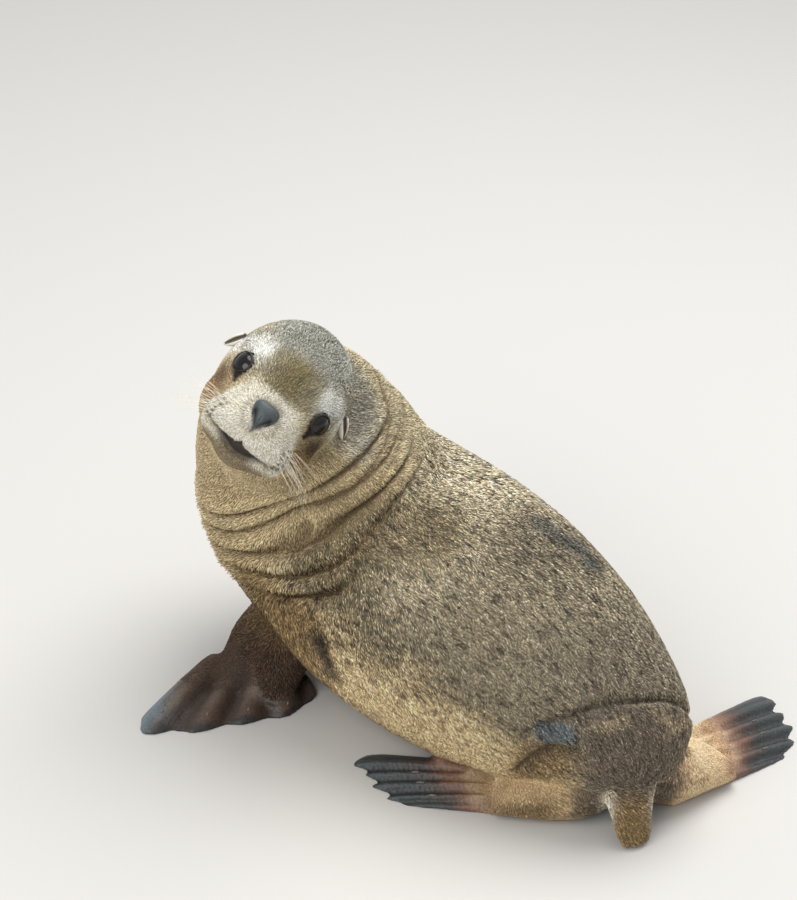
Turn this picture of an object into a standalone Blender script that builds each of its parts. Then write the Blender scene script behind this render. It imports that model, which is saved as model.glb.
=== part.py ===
"""A young Australian sea lion sitting on the ground, life size, in metres.

It rests on its belly, its turned-out fore flippers and its hind feet, and looks back over
its left shoulder. +Z is up, +Y runs from the tail towards the belly, and the head is on
the -X side. The body is modelled whole, from lofted tubes and fans that a voxel remesh
fuses, and is then parted by thin flat cuts into named pieces.
"""

from math import cos, pi, radians, sin

import bmesh
import bpy
import numpy as np
from mathutils import Matrix, Vector

# ---- driving dimensions, in metres ----------------------------------------------------
CUT_GAP = 0.0006            # width of the cuts between neighbouring pieces
CORE_VOXEL = 0.0040         # grid on which trunk and neck are fused
CORE_SMOOTHING = 90         # rounds of smoothing after that
HEAD_SMOOTHING = 26         # rounds of smoothing on the head alone
VOXEL = 0.0024              # grid on which the whole body is fused
SMOOTHING = 40              # rounds of smoothing after that, on the thick shapes
THIN_SMOOTHING = 10         # and on the flippers
BODY_FACES = 5400           # triangles of the fused body before it is parted
HEAD_DETAIL = 0.003         # how much more the head resists losing triangles
FLOOR_TRIM = 0.0015         # slice taken off below, which leaves flats to rest on
EYE_RADIUS = 0.0165
EYE_PLACE = (0.0285, 0.0385, 0.000)      # forward, to the side and up in the head's frame
EAR_LENGTH = 0.024

# The head's own frame: its origin lies midway between the eyeballs.
HEAD_CENTRE = Vector((-0.1325, 0.074, 0.378))
HEAD_FORWARD = Vector((0.040, -0.874, 0.484)).normalized()
HEAD_ROLL = radians(38.0)   # the crown leans towards the animal's left shoulder

# The shoulders' middle plane, across which the fore limbs mirror each other.
SHOULDERS = Vector((-0.055, 0.170, 0))
SHOULDER_LEFT = Vector((-0.57, -0.82, 0)).normalized()

SKY = Vector((0, 0, 1))


def head_axes():
    """The head's forward, left and up axes."""
    level_left = SKY.cross(HEAD_FORWARD).normalized()
    level_up = HEAD_FORWARD.cross(level_left)
    left = cos(HEAD_ROLL) * level_left - sin(HEAD_ROLL) * level_up
    return HEAD_FORWARD, left, HEAD_FORWARD.cross(left)


FORWARD, LEFT, UP = head_axes()


def head_point(forward, left, up):
    return HEAD_CENTRE + forward * FORWARD + left * LEFT + up * UP


def same_side(point):
    return Vector(point)


def across_shoulders(point):
    """A fore limb's point on the other side of the chest."""
    point = Vector(point)
    return point - 2 * (point - SHOULDERS).dot(SHOULDER_LEFT) * SHOULDER_LEFT


# ---- lofting --------------------------------------------------------------------------
def catmull_rom(rows, samples):
    """Rows of numbers, smoothed through every row with `samples` steps between two."""
    rows = np.array(rows, float)
    padded = np.vstack([2 * rows[0] - rows[1], rows, 2 * rows[-1] - rows[-2]])
    out = []
    for i in range(len(rows) - 1):
        a, b, c, d = padded[i:i + 4]
        for t in np.arange(samples) / samples:
            out.append(0.5 * (2 * b + (c - a) * t + (2 * a - 5 * b + 4 * c - d) * t**2
                              + (3 * b - a - 3 * c + d) * t**3))
    out.append(rows[-1])
    return np.array(out).tolist()


def finish_mesh(name, bm):
    bmesh.ops.recalc_face_normals(bm, faces=bm.faces)
    mesh = bpy.data.meshes.new(name)
    bm.to_mesh(mesh)
    bm.free()
    made = bpy.data.objects.new(name, mesh)
    bpy.context.scene.collection.objects.link(made)
    return made


def skin_rings(name, rings):
    """A closed solid through rings of points, capped at both ends."""
    bm = bmesh.new()
    rings = [[bm.verts.new(p) for p in ring] for ring in rings]
    for first, second in zip(rings, rings[1:]):
        for k in range(len(first)):
            after = (k + 1) % len(first)
            bm.faces.new((first[k], first[after], second[after], second[k]))
    bm.faces.new(rings[0])
    bm.faces.new(rings[-1])
    return finish_mesh(name, bm)


def loft(name, stations, samples=6, around=40):
    """A tube. A station is (centre, side half-width, height above, height below, dorsal)."""
    rows = [(*centre, side, above, below, *dorsal)
            for centre, side, above, below, dorsal in stations]
    rows = catmull_rom(rows, samples)
    centres = [Vector(row[:3]) for row in rows]
    rings = []
    for i, row in enumerate(rows):
        tangent = centres[min(i + 1, len(rows) - 1)] - centres[max(i - 1, 0)]
        tangent.normalize()
        dorsal = Vector(row[6:9])
        dorsal = (dorsal - dorsal.dot(tangent) * tangent).normalized()
        lateral = dorsal.cross(tangent)
        ring = []
        for k in range(around):
            turn = 2 * pi * k / around
            height = row[4] if cos(turn) > 0 else row[5]
            ring.append(centres[i] + sin(turn) * row[3] * lateral
                        + cos(turn) * height * dorsal)
        rings.append(ring)
    return skin_rings(name, rings)


def fan(name, rays, scallop, along=14, around=72):
    """A webbed hand or foot lying on the floor. A ray is (root, tip, root and tip height)."""
    rows = [(*root, *tip, high, low) for root, tip, high, low in rays]
    samples = 12
    rows = np.array(catmull_rom(rows, samples))
    rings = []
    for j in range(along):
        reach = sin(0.5 * pi * j / (along - 1))
        ring = []
        for k in range(around):
            turn = 2 * pi * k / around
            place = 0.5 * (1 - cos(turn)) * (len(rows) - 1)
            low = min(int(place), len(rows) - 2)
            row = rows[low] + (place - low) * (rows[low + 1] - rows[low])
            ridge = 0.5 + 0.5 * cos(2 * pi * place / samples) if place > samples else 1.0
            length = reach * (1 - scallop * (1 - ridge) ** 2)
            root, tip = Vector(row[0:3]), Vector(row[3:6])
            height = (row[6] * (1 - reach) + row[7] * reach) * (0.62 + 0.38 * ridge)
            height *= abs(sin(turn)) ** 0.5 * (1 - reach**12) ** 0.5
            height *= min(1, 0.4 + 4 * reach)
            point = root.lerp(tip, length)
            ring.append(Vector((point.x, point.y, point.z + (height if turn < pi else 0))))
        rings.append(ring)
    return skin_rings(name, rings)


def ellipsoid(name, centre, radii, axes, segments=32, rings=20):
    """A closed ellipsoid with its radii along three given axes."""
    bm = bmesh.new()
    bmesh.ops.create_uvsphere(bm, u_segments=segments, v_segments=rings, radius=1.0)
    for v in bm.verts:
        v.co = centre + sum((v.co[k] * radii[k] * axes[k] for k in range(3)), Vector())
    return finish_mesh(name, bm)


# ---- the body's shapes ----------------------------------------------------------------
def torso():
    """Trunk and neck along the spine, from the root of the tail to the back of the skull."""
    head_up = tuple(UP)
    stations = [
        ((0.224, -0.106, 0.056), 0.040, 0.030, 0.035, SKY),
        ((0.216, -0.086, 0.074), 0.074, 0.062, 0.068, SKY),
        ((0.196, -0.050, 0.092), 0.098, 0.085, 0.094, SKY),
        ((0.146, 0.000, 0.114), 0.125, 0.108, 0.120, SKY),
        ((0.084, 0.054, 0.130), 0.144, 0.125, 0.140, SKY),
        ((0.015, 0.115, 0.146), 0.151, 0.127, 0.145, SKY),
        ((-0.048, 0.166, 0.172), 0.143, 0.114, 0.142, (0.3, -0.2, 1)),
        ((-0.102, 0.190, 0.208), 0.126, 0.110, 0.124, (0.6, -0.1, 0.8)),
        ((-0.124, 0.182, 0.258), 0.106, 0.104, 0.104, (0.8, 0.3, 0.5)),
        ((-0.128, 0.150, 0.306), 0.090, 0.092, 0.088, head_up),
        ((-0.132, 0.110, 0.338), 0.074, 0.080, 0.074, head_up),
    ]
    return loft("torso", stations)


def nape(centre, radius):
    """Rolled flesh that fills the bend between the neck and the back."""
    return ellipsoid("nape", Vector(centre), (radius, radius, radius),
                     (Vector((1, 0, 0)), Vector((0, 1, 0)), SKY))


def throat():
    return ellipsoid("throat", head_point(-0.060, 0.014, -0.054), (0.064, 0.060, 0.040),
                     (FORWARD, LEFT, UP))


def core():
    """Trunk, neck and the flesh at the bend, blended softly."""
    shapes = [torso(), throat(), nape((-0.098, 0.166, 0.310), 0.072),
              nape((-0.069, 0.155, 0.280), 0.077), nape((-0.045, 0.140, 0.251), 0.080)]
    return fused("core", shapes, CORE_VOXEL, CORE_SMOOTHING, lambda co: 1.0)


def skull():
    """The head from the occiput to the nose, without the puffs of flesh on it."""
    sections = [
        (-0.120, -0.010, 0.050, 0.050, 0.050),
        (-0.090, -0.004, 0.062, 0.072, 0.064),
        (-0.055, 0.000, 0.067, 0.079, 0.072),
        (-0.020, -0.006, 0.066, 0.077, 0.072),
        (0.008, -0.014, 0.061, 0.068, 0.066),
        (0.028, -0.027, 0.053, 0.049, 0.057),
        (0.048, -0.035, 0.045, 0.034, 0.049),
        (0.066, -0.038, 0.039, 0.029, 0.043),
        (0.079, -0.038, 0.028, 0.024, 0.032),
        (0.086, -0.037, 0.012, 0.012, 0.016),
    ]
    stations = [(head_point(f, 0, u), side, above, below, UP)
                for f, u, side, above, below in sections]
    return loft("skull", stations)


def puff(centre, radii):
    """A rounded swelling of the face, placed in the head's frame."""
    return ellipsoid("puff", head_point(*centre), radii, (FORWARD, LEFT, UP), 18, 9)


def head_flesh():
    """The whole head, with whisker pads, cheeks, brows, chin and the nose's bridge."""
    shapes = [skull(), puff((0.046, 0, -0.068), (0.030, 0.026, 0.019)),
              puff((0.052, 0, -0.026), (0.032, 0.019, 0.017))]
    for side in (1, -1):
        shapes.append(puff((0.053, side * 0.024, -0.052), (0.031, 0.027, 0.026)))
        shapes.append(puff((-0.006, side * 0.034, -0.036), (0.046, 0.030, 0.036)))
        shapes.append(puff((-0.002, side * 0.038, 0.020), (0.026, 0.024, 0.018)))
    return fused("head", shapes, VOXEL, HEAD_SMOOTHING, lambda co: 1.0)


def arm(place):
    """A fore limb from inside the chest to the wrist."""
    stations = [
        ((-0.050, 0.160, 0.130), 0.050, 0.050, 0.050),
        ((-0.100, 0.148, 0.092), 0.052, 0.040, 0.040),
        ((-0.134, 0.134, 0.058), 0.051, 0.030, 0.034),
        ((-0.153, 0.106, 0.026), 0.047, 0.018, 0.026),
        ((-0.164, 0.086, 0.010), 0.040, 0.010, 0.010),
    ]
    return loft("arm", [(place(c), side, above, below, SKY)
                        for c, side, above, below in stations])


def hand(place):
    """The spread fore flipper, thick along its leading edge."""
    rays = [
        ((-0.200, 0.168), (-0.272, 0.046), 0.036, 0.012),
        ((-0.186, 0.146), (-0.262, 0.018), 0.044, 0.013),
        ((-0.170, 0.130), (-0.208, 0.026), 0.040, 0.008),
        ((-0.150, 0.120), (-0.161, 0.044), 0.038, 0.008),
        ((-0.126, 0.120), (-0.117, 0.062), 0.038, 0.008),
        ((-0.104, 0.134), (-0.084, 0.102), 0.036, 0.010),
    ]
    return fan("hand", [(place((*root, 0)), place((*tip, 0)), high, low)
                        for root, tip, high, low in rays], 0.08)


def leg(side):
    """A hind limb from the haunch over the ankle to the instep."""
    stations = {
        "left": [
            ((0.168, -0.040, 0.066), 0.052, 0.040, 0.046),
            ((0.180, -0.068, 0.042), 0.044, 0.034, 0.040),
            ((0.150, -0.074, 0.026), 0.036, 0.024, 0.026),
            ((0.100, -0.062, 0.016), 0.040, 0.018, 0.016),
        ],
        "right": [
            ((0.222, -0.040, 0.066), 0.050, 0.040, 0.046),
            ((0.258, -0.046, 0.042), 0.040, 0.034, 0.040),
            ((0.284, -0.024, 0.026), 0.038, 0.024, 0.026),
            ((0.312, 0.006, 0.016), 0.042, 0.018, 0.016),
        ],
    }
    return loft("leg", [(*station, SKY) for station in stations[side]])


FOOT_ROOTS = {"left": ((0.164, -0.034), (0.172, -0.094)),
              "right": ((0.246, 0.008), (0.272, -0.064))}
FOOT_TIPS = {
    "left": [(-0.034, 0.008), (-0.052, -0.014), (-0.038, -0.032), (-0.031, -0.050),
             (-0.015, -0.070), (0.000, -0.080)],
    "right": [(0.380, 0.146), (0.397, 0.132), (0.405, 0.111), (0.412, 0.088),
              (0.411, 0.060), (0.399, 0.030)],
}


def foot(side):
    """A hind flipper: a broad first toe, three narrow ones and a broad fifth."""
    inner, outer = (Vector((*xy, 0)) for xy in FOOT_ROOTS[side])
    last = len(FOOT_TIPS[side]) - 1
    rays = []
    for k, tip in enumerate(FOOT_TIPS[side]):
        root = inner.lerp(outer, k / last)
        rays.append((root, Vector((*tip, 0)), 0.042 - 0.002 * k, 0.009))
    return fan("foot", rays, 0.065)


def tail():
    stations = [
        ((0.222, -0.094, 0.062), 0.030, 0.026, 0.026, SKY),
        ((0.226, -0.112, 0.040), 0.023, 0.018, 0.018, SKY),
        ((0.230, -0.121, 0.020), 0.020, 0.012, 0.014, SKY),
        ((0.233, -0.127, 0.004), 0.014, 0.008, 0.010, SKY),
    ]
    return loft("tail", stations)


# ---- fusing ---------------------------------------------------------------------------
def settle(part):
    """Replace an object's mesh by the one its modifiers make, and drop them."""
    graph = bpy.context.evaluated_depsgraph_get()
    part.data = bpy.data.meshes.new_from_object(part.evaluated_get(graph))
    part.modifiers.clear()
    return part


def join(name, objects):
    """One object that holds the meshes of all the given ones."""
    bm = bmesh.new()
    for part in objects:
        bm.from_mesh(part.data)
        bpy.data.objects.remove(part)
    return finish_mesh(name, bm)


def weigh(part, name, weight_at):
    """A vertex group whose weights come from a function of the place."""
    group = part.vertex_groups.new(name=name)
    for v in part.data.vertices:
        group.add([v.index], weight_at(v.co), "REPLACE")
    return name


def ramp(value, low, high):
    return min(max((value - low) / (high - low), 0.0), 1.0)


def fused(name, shapes, voxel, rounds, weight_at):
    """One closed mesh of several, smoothed as far as a function of the place says."""
    made = join(name, shapes)
    remesh = made.modifiers.new("fuse", "REMESH")
    remesh.mode = "VOXEL"
    remesh.voxel_size = voxel
    settle(made)
    smooth = made.modifiers.new("smooth", "SMOOTH")
    smooth.iterations = rounds
    smooth.vertex_group = weigh(made, "soft", weight_at)
    settle(made)
    made.vertex_groups.clear()
    return keep_largest_shell(made)


def keep_largest_shell(part):
    """Drop the small closed shells, such as pockets between shapes, that fusing leaves."""
    bm = bmesh.new()
    bm.from_mesh(part.data)
    unseen, shells = set(bm.faces), []
    while unseen:
        front = [unseen.pop()]
        shell = list(front)
        while front:
            near = {f for e in front.pop().edges for f in e.link_faces} & unseen
            unseen -= near
            front.extend(near)
            shell.extend(near)
        shells.append(shell)
    shells.sort(key=len)
    bmesh.ops.delete(bm, geom=[f for shell in shells[:-1] for f in shell], context="FACES")
    bm.to_mesh(part.data)
    bm.free()
    return part


def softness(place):
    """How far the joins are smoothed: not on the face, nor low on the flippers."""
    behind = (place - HEAD_CENTRE).dot(FORWARD)
    return ramp(place.z, 0.012, 0.045) * ramp(-behind, 0.055, 0.095)


def fused_body():
    """Every shape of flesh as one smooth closed mesh, trimmed flat below."""
    shapes = [core(), head_flesh(), tail()]
    shapes += [arm(same_side), arm(across_shoulders), hand(same_side), hand(across_shoulders)]
    shapes += [leg("left"), leg("right"), foot("left"), foot("right")]
    body = fused("body", shapes, VOXEL, SMOOTHING, softness)
    smooth = body.modifiers.new("smooth", "SMOOTH")
    smooth.iterations = THIN_SMOOTHING
    settle(body)
    thin_out(body)
    trim_below(body, FLOOR_TRIM)
    return body


def trim_below(part, height):
    """Slice a closed mesh off level below a height, and close the flats."""
    bm = bmesh.new()
    bm.from_mesh(part.data)
    bmesh.ops.bisect_plane(bm, geom=[*bm.verts, *bm.edges, *bm.faces], dist=1e-6,
                           plane_co=(0, 0, height), plane_no=SKY, clear_inner=True)
    rim = [edge for edge in bm.edges if edge.is_boundary]
    bmesh.ops.holes_fill(bm, edges=rim, sides=0)
    flats = [face for face in bm.faces if len(face.verts) > 4]
    bmesh.ops.triangulate(bm, faces=flats)
    bmesh.ops.recalc_face_normals(bm, faces=bm.faces)
    bm.to_mesh(part.data)
    bm.free()


def thin_out(body):
    """Fewer triangles, kept closer together on the head."""
    decimate = body.modifiers.new("thin_out", "DECIMATE")
    decimate.ratio = BODY_FACES / (2 * len(body.data.polygons))
    decimate.vertex_group = weigh(body, "plain", lambda co: max(0.2, ramp(
        (co - HEAD_CENTRE).length, 0.085, 0.130)))
    decimate.vertex_group_factor = HEAD_DETAIL
    settle(body)
    body.vertex_groups.clear()


def boolean(part, cutter, operation):
    cut = part.modifiers.new(cutter.name, "BOOLEAN")
    cut.operation = operation
    cut.solver = "EXACT"
    cut.object = cutter
    return settle(part)


# ---- parting the body -----------------------------------------------------------------
def region(name, stations, samples=1):
    """A closed tube that encloses one part of the body."""
    return loft(name, [(*station, SKY) for station in stations], samples, around=18)


def head_region():
    """A barrel along the head's axis, from just behind the ears forward."""
    return region("head_region", [(head_point(f, 0, -0.01), 0.14, 0.14, 0.14)
                                  for f in (-0.088, 0.0, 0.110)])


def nose_region():
    return puff((0.090, 0, -0.030), (0.016, 0.0145, 0.0125))


def neck_region():
    """A barrel along the neck that takes what the head's barrel has left."""
    foot_end, lean = Vector((-0.100, 0.166, 0.185)), Vector((-0.50, 0.13, 0.86)).normalized()
    return region("neck_region", [(foot_end + step * lean, 0.17, 0.17, 0.17)
                                  for step in (0, 0.12, 0.26)])


def arm_region(place):
    """The fore flipper from the armpit outward."""
    stations = [
        ((-0.101, 0.154, 0.080), 0.078, 0.060, 0.060),
        ((-0.138, 0.126, 0.050), 0.090, 0.050, 0.060),
        ((-0.175, 0.090, 0.020), 0.110, 0.050, 0.060),
        ((-0.215, 0.030, 0.010), 0.120, 0.050, 0.060),
        ((-0.245, -0.030, 0.010), 0.120, 0.050, 0.060),
    ]
    return region("arm_region", [(place(c), *sizes) for c, *sizes in stations])


def hind_region(side):
    """The space that a hind flipper takes, from the ankle forward."""
    inner, outer = (Vector((*xy, -0.01)) for xy in FOOT_ROOTS[side])
    tips = FOOT_TIPS[side]
    first, last = Vector((*tips[0], -0.01)), Vector((*tips[-1], -0.01))
    across = (outer - inner).normalized()
    stations = []
    for reach, height in ((0.16, 0.075), (0.34, 0.058), (0.60, 0.044), (1.25, 0.040)):
        near = inner.lerp(first, reach) - 0.018 * across
        far = outer.lerp(last, reach) + 0.020 * across
        stations.append(((near + far) / 2, (far - near).length / 2, height, 0.010))
    return region(side + "_hind_region", stations)


def tail_region():
    return region("tail_region", [((0.224, -0.108, 0.047), 0.045, 0.045, 0.045),
                                  ((0.228, -0.118, 0.020), 0.045, 0.045, 0.045),
                                  ((0.233, -0.135, -0.030), 0.045, 0.045, 0.045)])


def copied(part, name):
    bm = bmesh.new()
    bm.from_mesh(part.data)
    return finish_mesh(name, bm)


def grown(part, distance):
    """A copy of a closed shape, pushed out by a distance."""
    made = copied(part, part.name + "_grown")
    swell = made.modifiers.new("swell", "DISPLACE")
    swell.strength = distance
    swell.mid_level = 0
    return settle(made)


def triangulate(part):
    """Fix the diagonals, so that grown copies of a shape stay parallel to it."""
    bm = bmesh.new()
    bm.from_mesh(part.data)
    bmesh.ops.triangulate(bm, faces=bm.faces)
    bm.to_mesh(part.data)
    bm.free()


def take(body, name, enclosing):
    """Part a named piece from the body along a region's surface, a thin gap apart."""
    piece = copied(body, name)
    triangulate(enclosing)
    inner, outer = grown(enclosing, -CUT_GAP / 2), grown(enclosing, CUT_GAP / 2)
    boolean(piece, inner, "INTERSECT")
    boolean(body, outer, "DIFFERENCE")
    for used in (inner, outer, enclosing):
        bpy.data.objects.remove(used)
    return piece


def parted(body):
    """The body's named pieces of flesh."""
    pieces = [
        take(body, "hindflipper_left", hind_region("left")),
        take(body, "hindflipper_right", hind_region("right")),
        take(body, "foreflipper_left", arm_region(same_side)),
        take(body, "foreflipper_right", arm_region(across_shoulders)),
        take(body, "tail", tail_region()),
        take(body, "head", head_region()),
        take(body, "neck", neck_region()),
    ]
    body.name = "trunk"
    return [keep_largest_shell(piece) for piece in (body, *pieces)]


# ---- eyes, ears and nose --------------------------------------------------------------
def eye(side, name):
    forward, out, up = EYE_PLACE
    return ellipsoid(name, head_point(forward, side * out, up), [EYE_RADIUS] * 3,
                     (FORWARD, LEFT, UP), segments=14, rings=8)


def ear(side, name):
    """A small rolled ear, pointing back and down from behind the eye."""
    root = head_point(-0.031, side * 0.064, 0.018)
    lie = (-0.60 * FORWARD + side * 0.47 * LEFT - 0.65 * UP).normalized()
    stations = []
    for along, width in ((-0.20, 0.0040), (0.0, 0.0052), (0.35, 0.0062), (0.75, 0.0046),
                         (1.0, 0.0016)):
        stations.append((root + along * EAR_LENGTH * lie, width, 0.7 * width, 0.7 * width, UP))
    return loft(name, stations, samples=1, around=8)


def set_in(host, inserts):
    """Hollow the host out round each insert, leaving a thin gap."""
    for insert in inserts:
        socket = grown(insert, CUT_GAP)
        boolean(host, socket, "DIFFERENCE")
        bpy.data.objects.remove(socket)


def material(name, colour, roughness):
    made = bpy.data.materials.new(name)
    made.use_nodes = True
    shader = made.node_tree.nodes["Principled BSDF"]
    shader.inputs["Base Color"].default_value = (*colour, 1)
    shader.inputs["Roughness"].default_value = roughness
    shader.inputs["Metallic"].default_value = 0
    return made


COLOURS = {
    "trunk": (0.28, 0.22, 0.14),
    "neck": (0.40, 0.31, 0.18),
    "head": (0.36, 0.31, 0.22),
    "tail": (0.13, 0.09, 0.05),
    "foreflipper": (0.045, 0.026, 0.018),
    "hindflipper": (0.10, 0.060, 0.040),
    "ear": (0.30, 0.24, 0.16),
    "eye": (0.004, 0.005, 0.006),
    "nose": (0.055, 0.065, 0.075),
}


def paint(part):
    kind = part.name.split("_")[0]
    roughness = 0.08 if kind == "eye" else 0.75
    part.data.materials.clear()
    part.data.materials.append(material(part.name, COLOURS[kind], roughness))


def set_down(parts):
    """Bring the bottom centre of the whole to the origin."""
    points = np.array([part.matrix_world @ v.co for part in parts for v in part.data.vertices])
    low, high = points.min(axis=0), points.max(axis=0)
    shift = Vector((-(low[0] + high[0]) / 2, -(low[1] + high[1]) / 2, -low[2]))
    for part in parts:
        part.data.transform(Matrix.Translation(shift))


def build():
    for old in list(bpy.data.objects):
        bpy.data.objects.remove(old)
    flesh = parted(fused_body())
    head = next(part for part in flesh if part.name == "head")
    eyes = [eye(1, "eye_left"), eye(-1, "eye_right")]
    ears = [ear(1, "ear_left"), ear(-1, "ear_right")]
    set_in(head, eyes + ears)
    nose = take(head, "nose", nose_region())
    parts = [*flesh, *eyes, *ears, nose]
    for part in parts:
        paint(part)
        part.data.shade_smooth()
        part.data.set_sharp_from_angle(angle=radians(40))
    set_down(parts)


if __name__ == "__main__":
    build()
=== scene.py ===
"""The looks of a young sea lion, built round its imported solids.

One skin takes the place of the solids of flesh. Folds, lips, lids and the webs between the
toes are moved into it, and a coat of thin lying tufts grows on it. Eyes, nose, ears, nails
and whiskers are pieces of their own. Places are given in the frame the solids were modelled
in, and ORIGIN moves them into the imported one.
"""

import heapq
from math import cos, pi, radians, sin
from types import SimpleNamespace

import bmesh
import bpy
import numpy as np
from mathutils import Matrix, Vector, noise
from mathutils.bvhtree import BVHTree
from mathutils.kdtree import KDTree


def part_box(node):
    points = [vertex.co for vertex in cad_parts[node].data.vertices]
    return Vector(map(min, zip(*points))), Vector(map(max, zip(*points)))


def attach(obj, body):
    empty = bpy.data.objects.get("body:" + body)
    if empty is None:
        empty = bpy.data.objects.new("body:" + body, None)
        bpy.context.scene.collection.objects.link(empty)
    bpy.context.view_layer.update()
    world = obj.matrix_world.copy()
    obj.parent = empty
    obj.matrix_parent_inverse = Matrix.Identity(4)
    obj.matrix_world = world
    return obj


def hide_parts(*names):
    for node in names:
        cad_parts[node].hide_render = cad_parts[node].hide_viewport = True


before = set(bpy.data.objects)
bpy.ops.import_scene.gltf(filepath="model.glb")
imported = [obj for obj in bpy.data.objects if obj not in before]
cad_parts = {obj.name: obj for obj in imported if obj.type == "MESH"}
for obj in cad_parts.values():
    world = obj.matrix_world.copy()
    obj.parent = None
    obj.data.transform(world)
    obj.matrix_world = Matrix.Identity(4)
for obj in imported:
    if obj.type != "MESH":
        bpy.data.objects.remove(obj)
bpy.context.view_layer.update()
SCENE = bpy.context.scene
RANDOM = np.random.default_rng(7)

# ---- sizes, in metres
SWELL = 0.0005              # how far the solids grow to close the cuts between them
MERGE = 1e-6                # points closer than this are one
FINE_VOXEL = 0.0018
VOXEL = FINE_VOXEL
TRUNK_ROUNDS, SKIN_ROUNDS = 90, 9   # of smoothing: the trunk and neck first, then all
SKIN_FACES = 300000
COAT_DEPTH = 0.0014         # how far the skin lies inside the solids under fur
TUFTS = 236000
TUFTS_IN_PIECE = 32500
COVER = 5.0                 # layers of tufts over each other
FLOW_ROUNDS = 30            # of averaging the lie of the coat
FLOOR_CLEARANCE = 0.0004
EYE_RADIUS = 0.0165
EYE_REACH = EYE_RADIUS + 0.012      # how far from its centre an eye shapes the skin
SOCKET_RADIUS = EYE_RADIUS - 0.0022  # the skin's radius behind an eyeball
EYE_OPENING = (0.66, 0.58)  # half the lids' width and height, in radii of the eyeball
NOSE_HALF = (0.0150, 0.0158, 0.0092)  # half the nose pad's width, height and depth
EAR_LENGTH = 0.024
HAND_NAIL = (0.0022, 0.0013, 0.0010)  # half the length, width and height
FOOT_NAIL = (0.0042, 0.0011, 0.0012)
WHISKER_RADIUS = 0.00028
WHISKERS_START = 0.076      # how far forward on the head the rows of whiskers start
WHISKER_STEP = 0.0062       # from one whisker to the next one in its row
WHISKER_ROW = 0.0048        # from one row to the next one below

# how far each form is moved into the skin, or out of it
FOLD_DEPTH, FOLD_PUFF = 0.0080, 0.0044
RUMP_DEPTH, RUMP_RIDGE, CREASE_DEPTH = 0.0050, 0.0018, 0.0050
MOUTH_DEPTH, LIP_PUFF, CHEEK_DEPTH = 0.0065, 0.0014, 0.0022
PAD_PUFF, PHILTRUM_DEPTH = 0.0036, 0.0020
TOE_GAPS = (0.45, 0.75, 0.0030)     # where a gap starts and is full, and its depth
FINGER_GAPS = (0.25, 0.60, 0.0022)

# lengths of tufts
BACK_TUFT, THROAT_TUFT, HEAD_TUFT, FACE_TUFT = 0.0108, 0.0076, 0.0056, 0.0036
FLIPPER_TUFT, TOE_TUFT = 0.0042, 0.0026

# ---- the body's landmarks, in the frame that the solids were modelled in
HEAD_CENTRE = Vector((-0.1325, 0.074, 0.378))
HEAD_FORWARD = Vector((0.040, -0.874, 0.484)).normalized()
HEAD_ROLL = radians(38.0)
EYE_PLACE = (0.0285, 0.0385, 0.000)
EAR_ROOT = (-0.031, 0.064, 0.018)
NOSE_PLACE = (0.0815, 0, -0.0295)
NOSE_TIP = (0.095, 0, -0.030)
UPPER_LIP, LOWER_LIP = -0.0622, -0.0742     # heights of their edges, below the nose
SHOULDERS = Vector((-0.055, 0.170, 0))
SHOULDER_LEFT = Vector((-0.57, -0.82, 0)).normalized()
SKY = Vector((0, 0, 1))
DOWN = Vector((0, 0, -1))
PELVIS = Vector((0.196, -0.050, 0.092))
PELVIS_BACK = Vector((0.54, -0.73, -0.40))
PELVIS_LEFT = Vector((-0.80, -0.59, 0))
SPINE = [(-0.132, 0.110, 0.338), (-0.128, 0.150, 0.306), (-0.124, 0.182, 0.258),
         (-0.102, 0.190, 0.208), (-0.048, 0.166, 0.172), (0.015, 0.115, 0.146),
         (0.084, 0.054, 0.130), (0.146, 0.000, 0.114), (0.196, -0.050, 0.092),
         (0.224, -0.106, 0.056)]
SPINE_UP = [None, None, (0.8, 0.3, 0.5), (0.6, -0.1, 0.8), (0.3, -0.2, 1), SKY, SKY, SKY,
            SKY, SKY]
ARM = [(-0.050, 0.160, 0.130), (-0.100, 0.148, 0.092), (-0.134, 0.134, 0.058),
       (-0.153, 0.106, 0.026)]
HAND_ROOTS = [(-0.200, 0.168), (-0.186, 0.146), (-0.170, 0.130), (-0.150, 0.120),
              (-0.126, 0.120), (-0.104, 0.134)]
HAND_TIPS = [(-0.272, 0.046), (-0.262, 0.018), (-0.208, 0.026), (-0.161, 0.044),
             (-0.117, 0.062), (-0.084, 0.102)]
FOOT_ROOTS = {"left": ((0.164, -0.034), (0.172, -0.094)),
              "right": ((0.246, 0.008), (0.272, -0.064))}
FOOT_TIPS = {
    "left": [(-0.034, 0.008), (-0.052, -0.014), (-0.038, -0.032), (-0.031, -0.050),
             (-0.015, -0.070), (0.000, -0.080)],
    "right": [(0.380, 0.146), (0.397, 0.132), (0.405, 0.111), (0.412, 0.088),
              (0.411, 0.060), (0.399, 0.030)],
}
FOLD_LEAN = (-0.75, -0.20, 1.0)
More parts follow.
